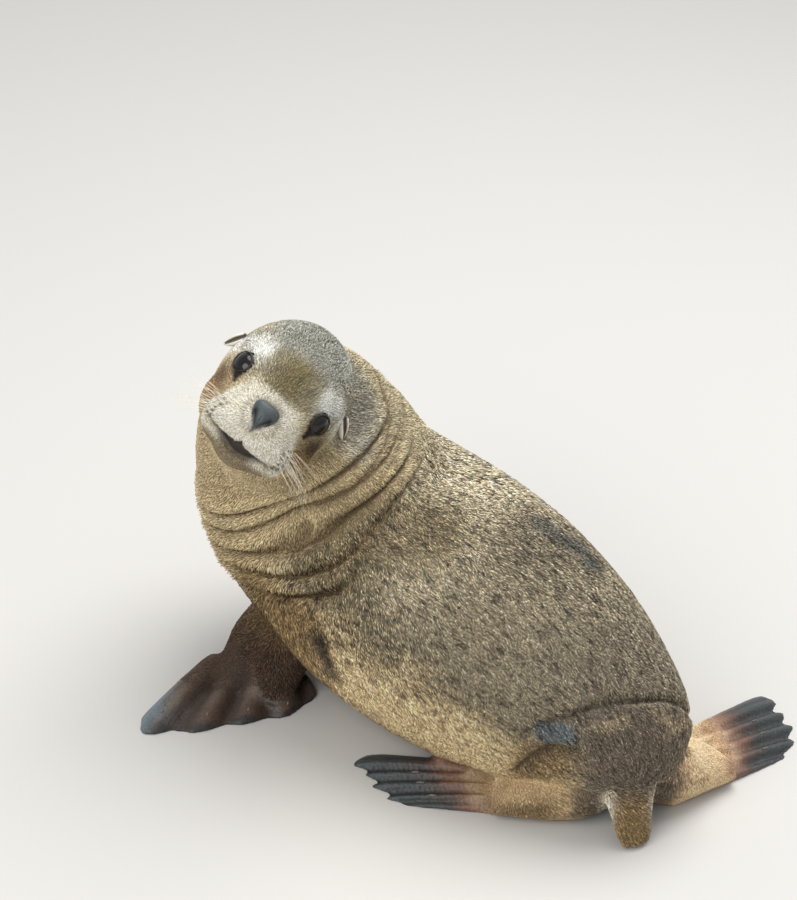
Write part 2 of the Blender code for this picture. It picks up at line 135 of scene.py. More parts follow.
# each fold's height along that lean, where across the throat it starts and where it is
# full, and its strength
THROAT_FOLDS = [(0.3295, -0.020, -0.075, 0.9), (0.3105, -0.025, -0.075, 0.8),
                (0.2885, -0.015, -0.065, 0.9), (0.2685, -0.025, -0.070, 0.9),
                (0.2495, -0.040, -0.070, 1.2)]
HAUNCH_CREASE = [(0.112, -0.100, 0.066), (0.117, -0.104, 0.077), (0.128, -0.112, 0.095),
                 (0.140, -0.116, 0.107), (0.152, -0.118, 0.111), (0.169, -0.124, 0.111)]
NECK_RING = [(-0.043, 0.179, 0.353), (-0.032, 0.143, 0.344), (-0.026, 0.118, 0.330),
             (-0.030, 0.095, 0.314), (-0.043, 0.077, 0.297), (-0.062, 0.068, 0.276)]
OUTER_RING = [(-0.013, 0.150, 0.328), (-0.012, 0.115, 0.318), (-0.020, 0.087, 0.302),
              (-0.035, 0.070, 0.284)]
BARE_PATCH = Vector((0.145, -0.115, 0.1245))
SCAR = [(0.133, 0.071, 0.244), (0.164, 0.061, 0.228), (0.179, 0.048, 0.220)]
DUSK = (0.140, 0.050, 0.228)
TAIL_ROOT = (0.226, -0.112, 0.040)
HEEL = [(0.298, -0.058, 0.026), (0.325, -0.030, 0.018)]
SHOULDER = [(0.012, 0.040, 0.258), (-0.030, 0.041, 0.246), (-0.066, 0.036, 0.226)]
# the armpit, where painted shade lies
AXILLA = [(-0.087, 0.006, 0.138), (-0.082, 0.002, 0.124), (-0.074, 0.001, 0.106)]
CHEST = [(-0.140, 0.065, 0.165), (-0.118, 0.038, 0.140), (-0.112, 0.048, 0.100),
         (-0.107, 0.056, 0.079)]

# middles of the spots in a pale brow, forward and up, their width, and where they start
# and are full on the way out
BROW = [(0.036, 0.021, 0.013, 0.026, 0.036), (0.018, 0.024, 0.012, 0.034, 0.042),
        (-0.004, 0.013, 0.013, 0.045, 0.055)]
# colours of the feet from the heel out, and where each starts and is full
FOOT_BANDS = [("765747", 0.36, 0.60), ("4d4541", 0.56, 0.70), ("3f4547", 0.66, 0.82)]
# gold of each foot at its root; the right one is made lighter as painted light against the
# body's shade on it
FOOT_GOLD = {"foot_left": "c9af89", "foot_right": "f0cda8"}

FLESH = ["trunk", "neck", "head", "nose", "tail", "foreflipper_left", "foreflipper_right",
         "hindflipper_left", "hindflipper_right"]


def head_axes():
    """Forward, left and up on the head."""
    level_left = SKY.cross(HEAD_FORWARD).normalized()
    level_up = HEAD_FORWARD.cross(level_left)
    left = cos(HEAD_ROLL) * level_left - sin(HEAD_ROLL) * level_up
    return HEAD_FORWARD, left, HEAD_FORWARD.cross(left)


FORWARD, LEFT, UP = head_axes()


def box_centre(node):
    low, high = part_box(node)
    return (low + high) / 2


EYES_MIDDLE = (box_centre("eye_left") + box_centre("eye_right")) / 2
ORIGIN = EYES_MIDDLE - (HEAD_CENTRE + EYE_PLACE[0] * FORWARD + EYE_PLACE[2] * UP)


def head_point(forward, left, up):
    """A place on the head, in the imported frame."""
    return ORIGIN + HEAD_CENTRE + forward * FORWARD + left * LEFT + up * UP


def across_shoulders(point):
    """The mirror image of a place, across the plane between the shoulders."""
    point = Vector(point)
    return point - 2 * (point - SHOULDERS).dot(SHOULDER_LEFT) * SHOULDER_LEFT


# ---- small tools
def smooth(value, low, high):
    """0 below low, 1 above high, and a soft step between them. Low may be the larger."""
    t = np.clip((np.asarray(value, float) - low) / (high - low), 0, 1)
    return t * t * (3 - 2 * t)


def bell(value, width):
    """1 at 0, and falling off to both sides."""
    return np.exp(-(np.asarray(value, float) / width) ** 2)


def linear(code):
    """A linear colour from an sRGB code such as b7a889."""
    channels = np.array([int(code[i:i + 2], 16) / 255 for i in (0, 2, 4)])
    return np.where(channels < 0.04045, channels / 12.92, ((channels + 0.055) / 1.055) ** 2.4)


def unit(vectors):
    return vectors / np.maximum(np.linalg.norm(vectors, axis=1, keepdims=True), 1e-9)


def noise_at(points, scale, seed=0.0):
    """Smooth noise of about -1 to 1 at each point."""
    shift = Vector((seed, 1.7 * seed, -seed))
    return np.array([noise.noise(Vector(p) * scale + shift) for p in points.tolist()])


def add_object(name, data):
    made = bpy.data.objects.new(name, data)
    SCENE.collection.objects.link(made)
    return made


def finished(name, mesh, material):
    """A smooth piece of one material."""
    mesh.shade_smooth()
    mesh.materials.append(MATERIALS[material])
    return add_object(name, mesh)


def settle(part):
    """Replace an object's mesh by the one its modifiers make, and drop them."""
    graph = bpy.context.evaluated_depsgraph_get()
    part.data = bpy.data.meshes.new_from_object(part.evaluated_get(graph))
    part.modifiers.clear()
    return part


def mesh_of(bm, name):
    """A mesh from a bmesh, which is freed."""
    mesh = bpy.data.meshes.new(name)
    bm.to_mesh(mesh)
    bm.free()
    return mesh


def piece_from(name, points, faces, material, tones=None, merge=False):
    """A smooth piece of one material, with a colour for each point where tones has one."""
    mesh = bpy.data.meshes.new(name)
    mesh.from_pydata([tuple(p) for p in points], [], faces)
    mesh.update()
    if tones is not None:
        colour_attribute(mesh, "tone", np.array(tones))
    bm = bmesh.new()
    bm.from_mesh(mesh)
    if merge:
        bmesh.ops.remove_doubles(bm, verts=bm.verts, dist=MERGE)
    bmesh.ops.recalc_face_normals(bm, faces=bm.faces)
    bm.to_mesh(mesh)
    bm.free()
    return finished(name, mesh, material)


def tube_faces(rows, around, start=0, closed=False, capped=False):
    """Faces of a tube whose points go round it row by row."""
    faces = []
    for i in range(rows if closed else rows - 1):
        near, far = start + i * around, start + (i + 1) % rows * around
        for j in range(around):
            after = (j + 1) % around
            faces.append((near + j, near + after, far + after, far + j))
    if capped:
        for end in (start, start + (rows - 1) * around):
            faces.append(tuple(range(end, end + around)))
    return faces


def add_tube(points, faces, rings, around):
    """Add a capped tube through rings, each a centre and the two halves of its width."""
    faces.extend(tube_faces(len(rings), around, len(points), capped=True))
    for centre, x, y in rings:
        for j in range(around):
            turn = 2 * pi * j / around
            points.append(centre + cos(turn) * x + sin(turn) * y)


def tree_from(places):
    """A search tree for the nearest of some places."""
    tree = KDTree(len(places))
    for k, place in enumerate(places):
        tree.insert(place, k)
    tree.balance()
    return tree


def colour_attribute(mesh, name, colours):
    """Keep a linear colour for each vertex."""
    layer = mesh.attributes.new(name, "FLOAT_COLOR", "POINT")
    rgba = np.ones((len(colours), 4), np.float32)
    rgba[:, :3] = colours
    layer.data.foreach_set("color", rgba.ravel())


def number_attribute(mesh, name, values):
    layer = mesh.attributes.new(name, "FLOAT", "POINT")
    layer.data.foreach_set("value", np.asarray(values, np.float32))


def vertex_array(mesh, what="co"):
    out = np.empty(len(mesh.vertices) * 3, np.float32)
    mesh.vertices.foreach_get(what, out)
    return out.reshape(-1, 3).astype(float)


def corner_table(mesh):
    """The three vertices of each triangle."""
    mesh.calc_loop_triangles()
    corners = np.empty(len(mesh.loop_triangles) * 3, int)
    mesh.loop_triangles.foreach_get("vertices", corners)
    return corners.reshape(-1, 3)


def weigh(part, weights):
    """A vertex group, in ten steps, from one weight for each vertex."""
    group = part.vertex_groups.new(name="weights")
    steps = np.round(np.clip(weights, 0, 1) * 10).astype(int)
    for step in range(1, 11):
        group.add(np.nonzero(steps == step)[0].tolist(), step / 10, "REPLACE")
    return group.name


# ---- the skin's mesh
def joined_flesh():
    """All solids of flesh in one mesh, each grown a little so that they overlap."""
    whole = bmesh.new()
    for name in FLESH:
        bm = bmesh.new()
        bm.from_mesh(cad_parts[name].data)
        bmesh.ops.remove_doubles(bm, verts=bm.verts, dist=MERGE)
        bm.normal_update()
        moved = [v.co + SWELL * v.normal for v in bm.verts]
        for v, place in zip(bm.verts, moved):
            v.co = place
        grown = mesh_of(bm, name + "_grown")
        whole.from_mesh(grown)
        bpy.data.meshes.remove(grown)
    return add_object("skin", mesh_of(whole, "skin"))


def head_places(points):
    """Forward, left and up on the head, for each point."""
    away = points - np.array(ORIGIN + HEAD_CENTRE)
    return away @ np.array(FORWARD), away @ np.array(LEFT), away @ np.array(UP)


def smoothing_weights(points):
    """Full on the trunk and neck, none on the face and low on the flippers."""
    face = smooth(head_places(points)[0], -0.090, -0.040)
    low = 1 - smooth(points[:, 2], 0.009, 0.030)
    return 1 - np.maximum(face, low)


def skin_mesh():
    """One closed and softened mesh over all the flesh."""
    skin = joined_flesh()
    remesh = skin.modifiers.new("fuse", "REMESH")
    remesh.mode = "VOXEL"
    remesh.voxel_size = VOXEL
    settle(skin)
    fine = VOXEL / FINE_VOXEL
    trunk = smoothing_weights(vertex_array(skin.data))
    for rounds, weights in ((TRUNK_ROUNDS, trunk), (SKIN_ROUNDS, None)):
        soften = skin.modifiers.new("soften", "SMOOTH")
        soften.iterations = max(2, int(rounds / fine ** 2))
        if weights is not None:
            soften.vertex_group = weigh(skin, weights)
        settle(skin)
        skin.vertex_groups.clear()
    return skin


def thinned(skin, body):
    """Drop the faces that the shape doesn't need, and keep the fields of the others."""
    tree = tree_from(vertex_array(skin.data).tolist())
    decimate = skin.modifiers.new("thin_out", "DECIMATE")
    decimate.ratio = min(1.0, SKIN_FACES / (2 * len(skin.data.polygons)))
    settle(skin)
    kept = np.array([tree.find(place)[1] for place in vertex_array(skin.data).tolist()])
    fans = {name: tuple(values[kept] for values in fan) for name, fan in body.fans.items()}
    thin = {key: values[kept] for key, values in vars(body).items() if key != "fans"}
    return SimpleNamespace(fans=fans, **thin)


# ---- where a point lies on the body
def resampled(points, steps):
    """Places along a bent line, with so many steps to each of its parts."""
    points = np.array(points, float)
    out = [points[0]]
    for a, b in zip(points, points[1:]):
        out += [a + (b - a) * k / steps for k in range(1, steps + 1)]
    return np.array(out)


def nearest_of(points, row):
    """Which place of a row is nearest to each point, and its distance squared."""
    which, nearest = np.zeros(len(points), int), np.full(len(points), 9.0)
    for k, place in enumerate(row):
        gap = ((points - place) ** 2).sum(axis=1)
        which[gap < nearest] = k
        nearest = np.minimum(nearest, gap)
    return which, nearest


def line_distance(points, line):
    """Distance of each point from a bent line."""
    return np.sqrt(nearest_of(points, resampled(line, 10))[1])


def spine_places(points):
    """Distance along the spine from the nose, and the angle from the back's midline."""
    nose_tip = HEAD_CENTRE + NOSE_TIP[0] * FORWARD + NOSE_TIP[2] * UP
    ups = [UP] * 2 + [Vector(up or UP) for up in SPINE_UP]
    line = resampled([nose_tip, HEAD_CENTRE] + [Vector(p) for p in SPINE], 12)
    ups = unit(resampled(ups, 12))
    steps = np.linalg.norm(np.diff(line, axis=0), axis=1)
    reach = np.concatenate([[0], np.cumsum(steps)])
    tangents = unit(np.gradient(line, axis=0))
    nearest = nearest_of(points, line)[0]
    away = points - line[nearest]
    t, up = tangents[nearest], ups[nearest]
    up = unit(up - (up * t).sum(axis=1, keepdims=True) * t)
    side = np.cross(up, t)
    along = reach[nearest] + (away * t).sum(axis=1)
    return along, np.arctan2((away * side).sum(axis=1), (away * up).sum(axis=1))


def digit_line(roots, tips, digit):
    """Root and tip of the line along a digit, or of one between two digits."""
    k = min(int(digit), len(roots) - 2)
    return [ends[k] + (digit - k) * (ends[k + 1] - ends[k])
            for ends in (np.array(roots, float), np.array(tips, float))]


def fan_grid(roots, tips):
    """Sample places of a flat webbed hand or foot, with their digit and reach."""
    rows, places = [], []
    for digit in np.linspace(0, len(roots) - 1, 61):
        root, tip = digit_line(roots, tips, digit)
        for reach in np.linspace(-0.25, 1.06, 54):
            rows.append((digit, reach))
            places.append((*(root + reach * (tip - root)), 0))
    return np.array(rows), places


def flipper_fans():
    """The four webbed flippers: name, roots and tips of their digits on the floor."""
    fans = {"hand_left": (HAND_ROOTS, HAND_TIPS)}
    fans["hand_right"] = tuple([tuple(across_shoulders((*p, 0)))[:2] for p in row]
                               for row in (HAND_ROOTS, HAND_TIPS))
    for side, tips in FOOT_TIPS.items():
        inner, outer = np.array(FOOT_ROOTS[side])
        last = len(tips) - 1
        roots = [tuple(inner + (outer - inner) * k / last) for k in range(last + 1)]
        fans["foot_" + side] = (roots, tips)
    return fans


FANS = flipper_fans()


def fan_places(points, name):
    """Digit and reach (0 at the root, 1 at the tip) of points near a flipper, and how
    surely each point belongs to it."""
    rows, places = fan_grid(*FANS[name])
    tree = tree_from(places)
    digit, reach = np.zeros(len(points)), np.full(len(points), -1.0)
    belongs = np.zeros(len(points))
    low, high = np.min(places, axis=0)[:2] - 0.03, np.max(places, axis=0)[:2] + 0.03
    near = ((points[:, :2] > low) & (points[:, :2] < high)).all(axis=1)
    near &= points[:, 2] < 0.075
    for i in np.nonzero(near)[0]:
        _, k, gap = tree.find((points[i, 0], points[i, 1], 0))
        digit[i], reach[i] = rows[k]
        belongs[i] = 1 - smooth(gap, 0.006, 0.020)
    root_height = 0.060 if name.startswith("foot") else 0.050
    top = root_height - (root_height - 0.014) * smooth(reach, 0, 0.8)
    belongs *= 1 - smooth(points[:, 2] - top, 0.0, 0.010)
    return digit, reach, belongs * smooth(reach, -0.24, 0.02)


def fan_point(name, digit, reach):
    """A place on the floor under a digit, and the way that the digit points."""
    root, tip = digit_line(*FANS[name], digit)
    flat = root + reach * (tip - root)
    return Vector((*flat, 0)) + Vector((ORIGIN.x, ORIGIN.y, 0)), Vector((*(tip - root), 0))


# ---- folds, lips and other forms moved into the skin
def throat_folds(points, normals):
    """How deep each point lies in the folds round the throat, from 0 to 1, and how far it
    puffs out above them."""
    waver = 0.0035 * noise_at(points, 14, 3) + 0.0008 * noise_at(points, 45, 5)
    height = points @ np.array(FOLD_LEAN) + waver
    across = points[:, 0] * 0.8 - points[:, 1] * 0.6
    facing = normals[:, 0] * -0.6 + normals[:, 1] * -0.8
    front = smooth(facing, -0.25, 0.30) * smooth(points[:, 2], 0.105, 0.125)
    depth, puff = np.zeros(len(points)), np.zeros(len(points))
    for level, start, full, strength in THROAT_FOLDS:
        share = strength * smooth(across, start, full) * front
        depth = np.maximum(depth, share * bell(height - level, 0.0039))
        puff += share * (bell(height - level - 0.009, 0.0070) * 0.8)
    return depth, puff


def rump_place(points):
    """Positive behind the crease across the rump, and the distance from the midline."""
    behind = points @ np.array(PELVIS_BACK) - 0.1229 - 0.28 * (points[:, 0] - 0.2088)
    lateral = np.abs((points - np.array(PELVIS)) @ np.array(PELVIS_LEFT))
    return behind + 0.004 * noise_at(points, 22, 9), lateral


def mouth_edges(left):
    """Heights on the head of the upper lip's edge and of the lower lip's edge."""
    return UPPER_LIP + 0.0045 * bell(left, 0.0040), LOWER_LIP + 14.0 * left ** 2


def mouth_share(body, soft):
    """1 in the dark gap between the lips, 0 outside it."""
    upper, lower = mouth_edges(body.l)
    gap = smooth(body.u, upper + soft, upper - 0.0006)
    gap = gap * smooth(body.u, lower - soft, lower + 0.0006)
    return gap * smooth(body.f, 0.030, 0.050) * (1 - smooth(body.l, 0.027, 0.033))


def both_sides(points, line):
    """Distance of each point from a line or from its mirror image across the shoulders."""
    mirrored = [across_shoulders(p) for p in line]
    return np.minimum(line_distance(points, line), line_distance(points, mirrored))


def read_body(points, normals):
    """All that the skin's shape, colours and coat need to know about each point: f, l and u
    are its places on the head, forward, to either side and up."""
    body = SimpleNamespace(points=points)
    body.f, body.left, body.u = head_places(points)
    body.l = np.abs(body.left)
    body.places = places = points - np.array(ORIGIN)
    body.z = places[:, 2]
    body.along, body.angle = spine_places(places)
    body.fold, body.fold_puff = throat_folds(places, normals)
    body.behind, body.lateral = rump_place(places)
    body.fans = {name: fan_places(places, name) for name in FANS}
    body.arm, body.chest, body.pit = (both_sides(places, x) for x in (ARM, CHEST, AXILLA))
    body.crease = bell(line_distance(places, HAUNCH_CREASE), 0.0042)
    for share, ring in ((0.8, NECK_RING), (0.5, OUTER_RING)):
        body.fold = np.maximum(body.fold, share * bell(line_distance(places, ring), 0.0036))
    body.fur = fur_share(body)
    return body


def digit_ridge(digit):
    """1 along the middle of each digit, 0 in the web between two."""
    return 0.5 + 0.5 * np.cos(2 * pi * digit)


def eye_frame(side):
    """Centre of an eyeball, the direction it looks in, and across and up to that."""
    forward, out, up = EYE_PLACE
    gaze = (0.66 * FORWARD + side * 0.74 * LEFT + 0.06 * UP).normalized()
    up_there = (UP - UP.dot(gaze) * gaze).normalized()
    return head_point(forward, side * out, up), gaze, gaze.cross(up_there), up_there


def eye_opening(points, side):
    """Distance from the eyeball's centre, and the angle from the gaze as a share of the
    opening's edge, which is a little wider than it is high."""
    centre, gaze, across, up = eye_frame(side)
    away = points - np.array(centre)
    distance = np.linalg.norm(away, axis=1)
    ahead, x, y = (away @ np.array(axis) / np.maximum(distance, 1e-6)
                   for axis in (gaze, across, up))
    share = np.hypot(x / EYE_OPENING[0], y / EYE_OPENING[1])
    return distance, np.where(ahead > 0, share, 9.0)


def cheek_line(body):
    """1 in the soft line from each corner of the mouth round under the pad."""
    line = bell(body.u + 0.0625 - 10.0 * np.maximum(body.l - 0.024, 0) ** 2, 0.0026)
    line *= smooth(body.l, 0.022, 0.030) * (1 - smooth(body.l, 0.040, 0.052))
    return line * smooth(body.f, 0.010, 0.035)


def eye_corner(points, side):
    """1 along the line from an eye's opening towards the nose, 0 away from it."""
    centre, gaze = eye_frame(side)[:2]
    inward = (0.45 * FORWARD - side * 0.25 * LEFT - 0.85 * UP).normalized()
    inward = (inward - inward.dot(gaze) * gaze).normalized()
    other = gaze.cross(inward)
    away = points - np.array(centre)
    ahead, off = away @ np.array(inward), away @ np.array(other)
    return smooth(ahead, 0.005, 0.012) * bell(off, 0.0036)


def shape_skin(points, normals, body):
    """How far each point of the skin moves along its normal."""
    f, l, u = body.f, body.l, body.u
    shift = np.full(len(points), -SWELL)
    shift -= COAT_DEPTH * body.fur
    shift -= FOLD_DEPTH * body.fold - FOLD_PUFF * body.fold_puff
    rump = bell(body.behind, 0.0045) * smooth(body.z, 0.075, 0.110)
    lumps = 1 + 0.6 * noise_at(body.places, 45, 2)
    shift -= RUMP_DEPTH * rump * lumps * smooth(body.lateral, 0.115, 0.080)
    ridge = bell(body.behind - 0.014, 0.008) * smooth(body.lateral, 0.10, 0.05)
    shift += RUMP_RIDGE * ridge * lumps
    shift -= CREASE_DEPTH * body.crease
    shift -= MOUTH_DEPTH * mouth_share(body, 0.0018)
    lip = bell(u - mouth_edges(l)[1] + 0.006, 0.0045) * (1 - smooth(l, 0.022, 0.038))
    shift += LIP_PUFF * lip * smooth(f, 0.04, 0.06)
    shift -= CHEEK_DEPTH * cheek_line(body)
    pad = bell(l - 0.020, 0.012) * bell(u + 0.049, 0.010) * smooth(f, 0.035, 0.055)
    shift += PAD_PUFF * pad
    philtrum = bell(l, 0.0016) * smooth(f, 0.06, 0.075) * smooth(u, -0.062, -0.056)
    shift -= PHILTRUM_DEPTH * philtrum * (1 - smooth(u, -0.044, -0.040))
    top = smooth(normals[:, 2], 0.1, 0.5)
    for name, (digit, reach, belongs) in body.fans.items():
        web = (1 - digit_ridge(digit)) ** 1.5 * smooth(digit, 0.5, 0.9)
        start, full, depth = TOE_GAPS if name.startswith("foot") else FINGER_GAPS
        shift -= depth * web * belongs * top * smooth(reach, start, full)
    for side in (1, -1):
        distance, share = eye_opening(points, side)
        inside = (1 - smooth(share, 0.92, 1.06)) * (distance < EYE_REACH)
        shift = shift * (1 - inside) + inside * (SOCKET_RADIUS - distance)
        rim = smooth(share, 1.00, 1.12) * (1 - smooth(share, 1.5, 2.2))
        short = np.maximum(EYE_RADIUS + 0.0011 - (distance + shift), 0)
        shift += rim * short * (distance < EYE_RADIUS + 0.006)
    return shift


# ---- markings, painted shade and painted light
class Paint:
    """A linear colour for each point, on which markings, painted shade and painted light are
    laid one after another.
    """

    def __init__(self, code, count):
        self.tone = np.tile(linear(code), (count, 1))

    def lay(self, code, share):
        share = np.clip(share, 0, 1)[:, None]
        self.tone = self.tone * (1 - share) + linear(code) * share


def paint_trunk(paint, body):
    """The back, flanks, belly, throat and nape."""
    lay, along, angle = paint.lay, body.along, np.abs(body.angle)
    patchy = noise_at(body.places, 16, 1)
    back = smooth(angle + 0.25 * patchy, 1.35, 0.60)
    lay("bcb096", back * smooth(along, 0.26, 0.36))
    loin = smooth(along + 0.03 * patchy, 0.46, 0.62) * smooth(angle, 1.9, 1.1)
    lay("928873", 0.9 * loin)
    lay("827969", 0.9 * back * smooth(along, 0.62, 0.72))
    dusk = smooth(np.linalg.norm(body.places - np.array(DUSK), axis=1), 0.095, 0.035)
    lay("665d4f", 0.55 * dusk * smooth(patchy, -0.6, 0.2))
    flank = smooth(angle + 0.2 * patchy, 1.26, 1.66) * smooth(along, 0.36, 0.46)
    lay("d8bf96", 0.9 * flank)
    under = smooth(angle, 2.0, 2.7) * smooth(along, 0.34, 0.44)
    lay("cdb086", 0.8 * under)
    reach = 0.105 * smooth(angle, 1.1, 1.8)
    throat = smooth(along + 0.03 * patchy - reach, 0.315, 0.205)
    lay("c2b08d", throat)
    nape = throat * smooth(angle, 1.7, 0.9)
    lay("beb397", 0.9 * nape)
    shaded = smooth(line_distance(body.places, SHOULDER) + 0.012 * patchy, 0.062, 0.020)
    lay("6f6349", 0.75 * shaded)
    chest = smooth(along, 0.27, 0.33) * smooth(along, 0.46, 0.40) * smooth(angle, 1.5, 2.2)
    lay("a08d6b", 0.6 * chest)


def paint_rump(paint, body):
    """The rump and haunches, the bare patch and the scar, the chest, and painted shade in the
    armpits.
    """
    lay, behind, lateral, z = paint.lay, body.behind, body.lateral, body.z
    ragged = 0.006 * noise_at(body.places, 60, 17)
    dark = smooth(behind + ragged, -0.001, 0.005) * smooth(lateral + ragged, 0.068, 0.052)
    lay("6f6558", 0.95 * dark)
    brown = bell(behind - 0.018, 0.010) * smooth(noise_at(body.places, 38, 18), -0.1, 0.25)
    lay("a6977d", 0.8 * brown * dark)
    haunch = smooth(lateral, 0.055, 0.080) * smooth(behind, -0.002, 0.012)
    lay("836f50", 0.9 * haunch * smooth(z, 0.120, 0.105))
    away = body.places - np.array(BARE_PATCH)
    bare = np.hypot(away[:, 0] / 0.024, away[:, 2] / 0.0125) + 40 * ragged
    lay("6f7679", 0.95 * smooth(bare, 1.10, 0.80) * (away[:, 1] < 0.05))
    scar = line_distance(body.places, SCAR) + ragged
    scar += 0.005 * noise_at(body.places, 110, 19)
    lay("4c4f4c", 0.78 * smooth(scar, 0.021, 0.010))
    chest = smooth(body.chest + 2 * ragged, 0.072, 0.026) * smooth(z, 0.185, 0.160)
    lay("86704e", 0.95 * chest)
    # painted shade in the armpit, between the forearm and the body
    lay("2f2921", 0.90 * smooth(body.pit + ragged, 0.024, 0.003))


def paint_limbs(paint, body):
    """Forearms, heels, hands and feet."""
    lay, z = paint.lay, body.z
    rough = noise_at(body.places, 60, 4)
    arm = smooth(body.arm, 0.088, 0.066) * smooth(z, 0.155, 0.125)
    lay("5f4c34", 0.95 * arm)
    lay("4a382b", arm * smooth(z, 0.090, 0.045))
    heel = line_distance(body.places, HEEL) + 0.005 * rough
    lay("e6c39c", smooth(heel, 0.038, 0.020))
    for name, (digit, reach, belongs) in body.fans.items():
        ragged = reach + 0.05 * rough
        web = (1 - digit_ridge(digit)) * smooth(digit, 0.4, 0.8)
        if name.startswith("hand"):
            lead_highlight = smooth(digit, 1.6, 0.5) * smooth(ragged, 0.56, 0.80)
            lay("54443a", belongs * smooth(ragged, -0.05, 0.2))
            lay("382d27", belongs * web * smooth(ragged, 0.2, 0.5))
            lay("75675a", 0.35 * belongs * (1 - web) * bell(ragged - 0.5, 0.2))
            # painted highlight: a blue-grey sheen on the outer part of the leading digit
            lay("65737a", belongs * lead_highlight)
            lay("2c2a29", belongs * smooth(ragged, 0.86, 0.96) * (1 - lead_highlight))
        else:
            for code, start, full in [(FOOT_GOLD[name], -0.15, 0.05)] + FOOT_BANDS:
                lay(code, belongs * smooth(ragged, start, full))
            lay("2a2a2b", 0.6 * belongs * web * smooth(ragged, 0.48, 0.70))


def paint_tail(paint, body):
    """The tail, with a pale fringe on each side."""
    away = body.places - np.array(TAIL_ROOT)
    lateral, y, z = np.abs(away[:, 0]), body.places[:, 1], body.z
    near = smooth(np.abs(away[:, 1]), 0.045, 0.030) * smooth(z, 0.070, 0.045)
    paint.lay("917a58", near * smooth(lateral, 0.034, 0.024) * smooth(y, -0.075, -0.100))
    behind = away @ np.array((0.10, -0.55, -0.83))
    white = near * bell(lateral - 0.024, 0.007) * bell(behind + 0.004, 0.020)
    paint.lay("e0dac8", 0.9 * white * smooth(y, -0.080, -0.100))


def whisker_dots(f, l, u):
    """1 on the dark roots of the whiskers, 0 between them."""
    steps = (WHISKERS_START - f) / WHISKER_STEP
    rows = (-0.038 + 0.16 * (WHISKERS_START - f) - u) / WHISKER_ROW
    dots = bell(rows - np.round(rows), 0.30) * bell(steps - np.round(steps), 0.26)
    return dots * (rows > -0.4) * (rows < 4.4) * (steps > -0.4) * (steps < 5.4) * (l > 0.012)


def paint_face(paint, body):
    """The head's markings, the same on both sides."""
    lay, before = paint.lay, paint.tone
    f, l, u = body.f, body.l, body.u
    head = smooth(f, -0.085, -0.050) * smooth(u - 0.2 * f, -0.072, -0.040)
    lay("9a9688", head * smooth(u, -0.02, 0.02))
    crown = head * smooth(u + 0.3 * f, 0.030, 0.055) * smooth(f, 0.05, 0.03)
    lay("94968f", 0.8 * crown)
    tan = head * smooth(noise_at(body.places, 30, 8), 0.0, 0.5) * (1 - crown)
    lay("a59a7c", 0.5 * tan)
    brow_middle = bell(l, 0.028) * smooth(f, 0.022, 0.045) * smooth(u, -0.016, 0.000)
    lay("7d724e", 0.9 * brow_middle * smooth(u, 0.045, 0.030))
    bridge = bell(l, 0.016) * bell(u + 0.004, 0.012) * smooth(f, 0.045, 0.058)
    lay("6f654e", 0.8 * bridge)
    muzzle = smooth(f, 0.050, 0.062) * smooth(u, 0.002, -0.008)
    lay("efeadc", 0.92 * muzzle)
    # the chin's tan, darkened by a painted shadow under the muzzle
    chin_shadow = smooth(f, 0.030, 0.050) * smooth(u, -0.066, -0.074) * smooth(u, -0.105, -0.090)
    lay("725e3c", 0.85 * chin_shadow)
    lay("2e2720", 1.2 * whisker_dots(f, l, u))
    around_nose = bell(np.hypot(l / 1.1, u - NOSE_PLACE[2]) - 0.0155, 0.004)
    lay("a09a8a", 0.6 * around_nose * smooth(f, 0.060, 0.070))
    top = bell(l - 0.006, 0.011) * smooth(f, 0.055, 0.068) * bell(u + 0.014, 0.007)
    lay("a3a094", 0.8 * top)
    cheek = smooth(l, 0.038, 0.050) * smooth(f, -0.045, -0.020) * smooth(f, 0.060, 0.045)
    lay("b8a27a", 0.9 * cheek * smooth(-u, 0.024, 0.036) * smooth(-u, 0.075, 0.060))
    brow = [bell(np.hypot(f - ahead, u - above), width) * smooth(l, start, full)
            for ahead, above, width, start, full in BROW]
    lay("ebebe4", 1.25 * np.max(brow, axis=0))
    inner = bell(l - 0.0265, 0.0075) * smooth(f, 0.036, 0.048) * smooth(u, 0.004, -0.010)
    lay("e0d9c6", 0.85 * inner * smooth(u, -0.046, -0.032))
    band = bell(u + 0.08 * (f + 0.02) - 0.002, 0.011) * smooth(l, 0.050, 0.058)
    lay("e6e1d4", 0.8 * band * bell(f + 0.026, 0.014))
    below = bell(np.hypot((f - 0.018) / 1.7, u + 0.023), 0.0150) * smooth(l, 0.036, 0.046)
    lay("4f402d", 1.15 * below * (body.left > 0))
    lay("7d6852", 1.10 * below * (body.left < 0))
    tan = bell(np.hypot((f - 0.020) / 1.8, u + 0.038), 0.008) * smooth(l, 0.044, 0.050)
    lay("b08a62", 0.7 * tan)
    grizzled = paint.tone * (1 + 0.10 * head * noise_at(body.places, 55, 6))[:, None]
    on_head = smooth(np.sqrt(f ** 2 + l ** 2 + u ** 2), 0.125, 0.100)
    paint.tone = before + (grizzled - before) * on_head[:, None]


def paint_creases(paint, body):
    """Painted shade in the folds and creases, and painted light on the puffs of throat between
    the folds.
    """
    # painted light: the puffs of throat between the folds are made lighter
    paint.tone = paint.tone * (1 + 0.40 * np.clip(body.fold_puff, 0, 1))[:, None]
    # painted shade in the folds round the throat and neck
    paint.lay("5e4b30", 0.85 * np.clip(body.fold, 0, 1))
    # painted shade in the crease over the haunch
    paint.lay("4f4330", 0.8 * body.crease)
    # painted shade in the crease across the rump
    rump = bell(body.behind + 0.001, 0.0035) * smooth(body.z, 0.075, 0.110)
    paint.lay("453d31", 0.6 * rump * smooth(body.lateral, 0.115, 0.080))


